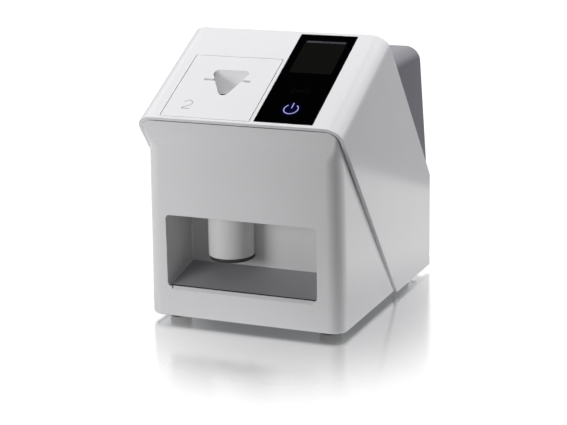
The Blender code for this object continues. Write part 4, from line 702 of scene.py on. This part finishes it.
# Points of the eased edges, inwards and up, as shares of the edge's size
CHUTE_END_SHARES = ((0, 8 / 9), (1 / 3, 2 / 9), (1, 0))
RING_OUTER_SHARES = ((0, 1), (0.3, 0.3), (1, 0))
RING_INNER_SHARES = ((-0.7, 0), (0, 0.6))


def eased(radius, low, size, shares):
    """The run of points that eases the lower edge of a turned piece."""
    return [(radius - size * inwards, low + size * up) for inwards, up in shares]


flange_low = BAY_TOP + BAY_WALL + GAP
flange_top = flange_low + CHUTE_FLANGE_THICK
flange_radius, bore = CHUTE_RADIUS + CHUTE_FLANGE, CHUTE_RADIUS - CHUTE_WALL
chute = turned("chute_tube", (
    (flange_radius, flange_top), (flange_radius, flange_low), (CHUTE_RADIUS, flange_low),
    *eased(CHUTE_RADIUS, CHUTE_END, CHUTE_EDGE, CHUTE_END_SHARES),
    (bore, CHUTE_END), (bore, flange_top)))
# The same moulding as the liner, in a lighter grey
chute_abs = moulded("satin_moulded_light_grey_abs", "#DEDEDE", roughness=0.34, grain_mm=0.8,
                    grain_depth_mm=0.010)
finished(chute, chute_abs, "scanner", "outlet_chute", slot="light_grey_abs")

# The black ring is painted shade under the chute's end
ring_top, ring_radius = CHUTE_END - GAP, CHUTE_RADIUS - RING_STEP
ring_low, ring_bore = ring_top - RING_HEIGHT, ring_radius - RING_WIDTH
ring = turned("chute_shade_ring", (
    (ring_radius, ring_top), *eased(ring_radius, ring_low, RING_EDGE, RING_OUTER_SHARES),
    *eased(ring_bore, ring_low, RING_EDGE, RING_INNER_SHARES), (ring_bore, ring_top)))
finished(ring, rubber, "scanner", "outlet_ring", slot="black_rubber")

# Insert. A lift-out plate guide in the hood's own gloss ABS, on a black nylon seat: a funnel
# leads the plate down, a notch at each side takes its long edges, and its size is printed on it.
FUNNEL_S, THROAT_S = 0.0582, 0.05226
FUNNEL_DEPTH, FUNNEL_WALL, MOUTH_OVERRUN = 0.0135, 0.0018, 0.002
# Corner centres of the funnel's mouth and throat: across, and up the slope
MOUTH = ((0.0030, -0.0152), (0.0120, 0.0108), (-0.0120, 0.0108))
THROAT = ((0.0, -0.0012), (0.0150, 0.0008), (-0.0150, 0.0008))
MOUTH_ROUND, THROAT_ROUND = 0.0055, 0.0024
NOTCH_HALF_LENGTH, NOTCH_HALF_WIDTH, NOTCH_CORNER, NOTCH_DEPTH = 0.0234, 0.0015, 0.0012, 0.003
PASS_HALF_WIDTH, PASS_HALF_DEPTH = 0.0163, 0.0013
INSERT_EASE, INSERT_EDGE = 0.0002, 0.0005

dressed(["insert_seat"], black_nylon)
insert_outline = rounded_box(*grown(INSERT, -INSERT_EASE), INSERT_CORNER)
insert = slope_body("plate_insert_top", (insert_outline, -SHELL), (insert_outline, 0))


def funnel_outline(out, extra=0.0):
    """The funnel's outline at a level below the panel, from its wide mouth to its throat."""
    sink = -out / FUNNEL_DEPTH
    mouth = round_hull(MOUTH, MOUTH_ROUND + extra, steps=16)
    throat = round_hull(THROAT, THROAT_ROUND + extra, steps=16)
    return [(PATH_X + a[0] * (1 - sink) + b[0] * sink,
             FUNNEL_S * (1 - sink) + THROAT_S * sink + a[1] * (1 - sink) + b[1] * sink)
            for a, b in zip(mouth, throat)]


carved(insert, slope_body(
    "funnel_body", (funnel_outline(-FUNNEL_DEPTH, FUNNEL_WALL), -FUNNEL_DEPTH),
    (funnel_outline(0, FUNNEL_WALL), -SHELL / 2)), way="UNION")
notch_s = PATH_SETBACK / cos(SLOPE)
notch_outline = rounded_box(
    PATH_X - NOTCH_HALF_LENGTH, PATH_X + NOTCH_HALF_LENGTH,
    notch_s - NOTCH_HALF_WIDTH, notch_s + NOTCH_HALF_WIDTH, NOTCH_CORNER)
notch = slope_body("plate_notch", (notch_outline, -NOTCH_DEPTH), (notch_outline, NOTCH_DEPTH))
plate_pass = skin("plate_pass", [[
    (PATH_X + x * PASS_HALF_WIDTH, PATH_Y + y * PASS_HALF_DEPTH, z)
    for x, y in ((-1, -1), (1, -1), (1, 1), (-1, 1))] for z in (LIP_HEIGHT, HEIGHT)])
throat_outline = funnel_outline(-FUNNEL_DEPTH)
funnel_room = slope_body(
    "funnel_room", (throat_outline, -FUNNEL_DEPTH - OVERRUN), (throat_outline, -FUNNEL_DEPTH),
    (funnel_outline(0), 0), (funnel_outline(MOUTH_OVERRUN), MOUTH_OVERRUN))
carved(insert, funnel_room, notch, plate_pass)
finished(insert, white_abs, "insert", "plate_insert", slot="gloss_white_abs", edge=INSERT_EDGE)

# Print stands a hair proud of the panel, and is rooted in it so that no gap shows under it
PRINT_SUNK, PRINT_PROUD = 0.0002, 0.00004


def printed_line(name, points, width, closed=False):
    """A flat line of print on the sloping panel, along (across, up the slope) points."""
    count = len(points)
    rings = []
    for place, (x, s) in enumerate(points):
        before = points[place - 1] if closed or place else points[place]
        after = points[(place + 1) % count] if closed or place < count - 1 else points[place]
        run = Vector((after[0] - before[0], after[1] - before[1])).normalized() * (width / 2)
        rings.append([on_slope(x + side * run.y, s - side * run.x, out) for side, out in (
            (-1, -PRINT_SUNK), (1, -PRINT_SUNK), (1, PRINT_PROUD), (-1, PRINT_PROUD))])
    return skin(name, rings, joined=closed)


def arc(centre, radius, first, last, steps):
    """Points on a circle between two angles in degrees."""
    return [(centre[0] + radius * cos(radians(first + (last - first) * step / steps)),
             centre[1] + radius * sin(radians(first + (last - first) * step / steps)))
            for step in range(steps + 1)]


# The size number: a bowl, a straight stroke down to the left and a foot
NUMBER_CENTRE, NUMBER_RADIUS, NUMBER_LINE = (-0.0549, 0.0235), 0.0041, 0.0007
NUMBER_LEFT, NUMBER_RIGHT, NUMBER_KNEE, NUMBER_FOOT = -0.0590, -0.0507, 0.0165, 0.0157

# Pad-printed grey ink, very thin, so only its tone shows
grey_ink = moulded("pad_printed_grey_ink", "#8E8E92", roughness=0.45, grain_mm=0.4,
                   grain_depth_mm=0.002)
size_number = printed_line("insert_size_number", (
    arc(NUMBER_CENTRE, NUMBER_RADIUS, 165, -35, steps=20)
    + [(NUMBER_LEFT, NUMBER_KNEE), (NUMBER_LEFT, NUMBER_FOOT), (NUMBER_RIGHT, NUMBER_FOOT)]),
    NUMBER_LINE)
finished(size_number, grey_ink, "insert", slot="gloss_white_abs")

# Touch glass. A flat pane of toughened glass, back-printed in black, set flush in the hood over
# the display. The screen shows as a slightly lighter field, and the key's lamp glows through.
SCREEN_LEFT, SCREEN_RIGHT, SCREEN_START, SCREEN_END = 0.0248, 0.0658, 0.0765, 0.1255
SCREEN_BLUR, PANE_EDGE = 0.00005, 0.0003
KEY = (0.0457, 0.0243)
HALO_START, HALO_END, HALO_STRENGTH = 0.0050, 0.0115, 0.40
SMEAR_MM = 18

dressed(["display_board"], green_board)
# Laminated display: black with a dull sheen
dull_black = moulded("laminated_black_display", "#141416", roughness=0.30, grain_mm=2.0,
                     grain_depth_mm=0.002)
dressed(["display_panel"], dull_black)

black_glass, tree, shader = new_material("back_printed_black_glass")
place = add_node(tree, "ShaderNodeTexCoord").outputs["Object"]
up_slope = add_node(tree, "ShaderNodeVectorMath", ((0, place), (1, (0, cos(SLOPE), sin(SLOPE)))),
                    operation="DOT_PRODUCT").outputs["Value"]
across = add_node(tree, "ShaderNodeSeparateXYZ", ((0, place),)).outputs["X"]
slope_start = LIP_Y * cos(SLOPE) + LIP_HEIGHT * sin(SLOPE)


def window_side(value, start, end):
    """1 between start and end, 0 outside, with a soft edge."""
    off = add_node(tree, "ShaderNodeMath", ((0, value), (1, (start + end) / 2)),
                   operation="SUBTRACT")
    far_off = add_node(tree, "ShaderNodeMath", ((0, off.outputs[0]),), operation="ABSOLUTE")
    half = (end - start) / 2
    return add_node(tree, "ShaderNodeMapRange", (
        ("Value", far_off.outputs[0]), ("From Min", half + SCREEN_BLUR),
        ("From Max", half - SCREEN_BLUR))).outputs[0]


window = add_node(tree, "ShaderNodeMath", (
    (0, window_side(across, SCREEN_LEFT, SCREEN_RIGHT)),
    (1, window_side(up_slope, slope_start + SCREEN_START, slope_start + SCREEN_END))),
    operation="MULTIPLY")
field = add_node(tree, "ShaderNodeMix", ((0, window.outputs[0]), (6, srgb("#020203")),
                                         (7, srgb("#121211"))), data_type="RGBA")
tree.links.new(field.outputs[2], shader.inputs["Base Color"])
smear = add_node(tree, "ShaderNodeTexNoise", (("Vector", place), ("Scale", 1000 / SMEAR_MM),
                                              ("Detail", 4)))
shine = add_node(tree, "ShaderNodeMapRange", (("Value", smear.outputs["Fac"]),
                                              ("To Min", 0.02), ("To Max", 0.06)))
tree.links.new(shine.outputs[0], shader.inputs["Roughness"])
from_key = add_node(tree, "ShaderNodeVectorMath", ((0, place), (1, on_slope(*KEY, 0))),
                    operation="DISTANCE")
halo = add_node(tree, "ShaderNodeMapRange", (
    ("Value", from_key.outputs["Value"]), ("From Min", HALO_START), ("From Max", HALO_END),
    ("To Min", HALO_STRENGTH), ("To Max", 0.0)), interpolation_type="SMOOTHSTEP")
tree.links.new(halo.outputs[0], shader.inputs["Emission Strength"])
shader.inputs["Emission Color"].default_value = srgb("#0A0A46")
shader.inputs["IOR"].default_value = 1.52

pane_outline = rounded_box(*GLASS, GLASS_CORNER)
pane = slope_body("touch_glass_pane", (pane_outline, -GLASS_THICK), (pane_outline, -PANE_EDGE),
                  (rounded_box(*grown(GLASS, -PANE_EDGE), GLASS_CORNER), 0))
finished(pane, black_glass, "scanner", "display_glass", slot="black_glass")


UNEVEN_MM = 3


def lit(name, colour, strength_low, strength_high):
    """A lamp shining through a stencil, a little uneven along its length."""
    made, tree, shader = new_material(name)
    shader.inputs["Base Color"].default_value = srgb("#101014")
    shader.inputs["Emission Color"].default_value = srgb(colour)
    uneven = add_node(tree, "ShaderNodeTexNoise", (
        ("Vector", add_node(tree, "ShaderNodeTexCoord").outputs["Object"]),
        ("Scale", 1000 / UNEVEN_MM)))
    level = add_node(tree, "ShaderNodeMapRange", (
        ("Value", uneven.outputs["Fac"]), ("From Min", 0.3), ("From Max", 0.7),
        ("To Min", strength_low), ("To Max", strength_high)))
    tree.links.new(level.outputs[0], shader.inputs["Emission Strength"])
    return made


KEY_RADIUS, KEY_LINE, KEY_STROKE_START, KEY_STROKE_END = 0.0066, 0.0009, 0.0012, 0.0086
STATUS_MARGIN, STATUS_DROP, STATUS_LINE = 0.0012, 0.0022, 0.0026
WIRELESS, WIRELESS_RADII, WIRELESS_LINE = (0.0451, 0.0502), (0.0032, 0.0058, 0.0084), 0.0006
WIRELESS_SPREAD = 38
DOT_RADIUS, DOT_LINE = 0.0008, 0.0012

# The key's ring and stroke are lit bluish white, the wireless arcs are unlit dark grey ink
key_light = lit("lit_key_stencil", "#B8B6F0", strength_low=0.85, strength_high=1.0)
bar_light = lit("lit_status_line", "#3C3C48", strength_low=0.2, strength_high=0.9)
dark_ink = moulded("screen_printed_dark_ink", "#0E0E10", roughness=0.15, grain_mm=0.4,
                   grain_depth_mm=0.002)
key_x, key_s = KEY
status_s = SCREEN_END - STATUS_DROP
marks = [
    ("power_key_ring", arc(KEY, KEY_RADIUS, 128, 412, steps=40), KEY_LINE, key_light),
    ("power_key_stroke", [(key_x, key_s + KEY_STROKE_START), (key_x, key_s + KEY_STROKE_END)],
     KEY_LINE, key_light),
    ("status_line", [(SCREEN_LEFT + STATUS_MARGIN, status_s),
                     (SCREEN_RIGHT - STATUS_MARGIN, status_s)], STATUS_LINE, bar_light),
]
for side, turn in (("left", 180), ("right", 0)):
    for place, radius in enumerate(WIRELESS_RADII):
        marks.append((f"wireless_arc_{side}_{place + 1}", arc(
            WIRELESS, radius, turn - WIRELESS_SPREAD, turn + WIRELESS_SPREAD, steps=12),
            WIRELESS_LINE, dark_ink))
marks.append(("wireless_dot", arc(WIRELESS, DOT_RADIUS, 0, 345, steps=23), DOT_LINE, dark_ink))
for name, points, width, coat in marks:
    finished(printed_line(name, points, width, closed=name == "wireless_dot"), coat, "scanner",
             slot="black_glass")

# Rear cover. A slate grey ABS moulding that fills the hood's slanting back, with two long
# round edges, held at its foot by two screws.
COVER_INSET, COVER_END_RISE, COVER_TOP_SETBACK = 0.0032, 0.004, 0.025
COVER_WALL, COVER_ROUND, COVER_EDGE = 0.0025, 0.014, 0.0006

COVER_HALF, COVER_TOP = HALF_WIDTH - COVER_INSET, HEIGHT - COVER_DROP
COVER_END = BACK_CORNER_HEIGHT + COVER_END_RISE
COVER_LEAN = COVER_TOP_SETBACK / (COVER_TOP - BACK_CORNER_HEIGHT)


def cover_back_y(height, inset):
    """Y at a height of a plane inside the rear cover's back."""
    return BACK_Y - (height - BACK_CORNER_HEIGHT) * COVER_LEAN - inset * hypot(1, COVER_LEAN)


def cover_wedge(name, half_width, low, high, gap, inset, radius):
    """The cover's outer shape or its hollow, with its two top side edges rounded."""
    made = side_slab(name, ((slant_y(high, gap), high), (slant_y(low, gap), low),
                            (cover_back_y(low, inset), low), (cover_back_y(high, inset), high)),
                     half_width)
    return edges_rounded(made, radius, 16, lambda start, end: (
        abs(start.z - end.z) < GAP and start.z > high - GAP and abs(start.x - end.x) < GAP))


# Satin ABS with a fine spark-eroded grain: a cool dark grey with broad soft highlights
slate_abs = moulded("satin_moulded_slate_abs", "#67676E", roughness=0.36, grain_mm=0.9,
                    grain_depth_mm=0.020)
cover = cover_wedge("rear_cover_shell", COVER_HALF, COVER_END, COVER_TOP, GAP, 0, COVER_ROUND)
carved(cover, cover_wedge("cover_room", COVER_HALF - COVER_WALL, COVER_END + COVER_WALL,
                          COVER_TOP - COVER_WALL, -OVERRUN, COVER_WALL,
                          COVER_ROUND - COVER_WALL))
softened(cover, COVER_EDGE, steps=2, angle=40)
finished(cover, slate_abs, "scanner", "rear_cover", slot="slate_grey_abs")
dressed([f"cover_screw_{side}" for side in sides], bright_steel)
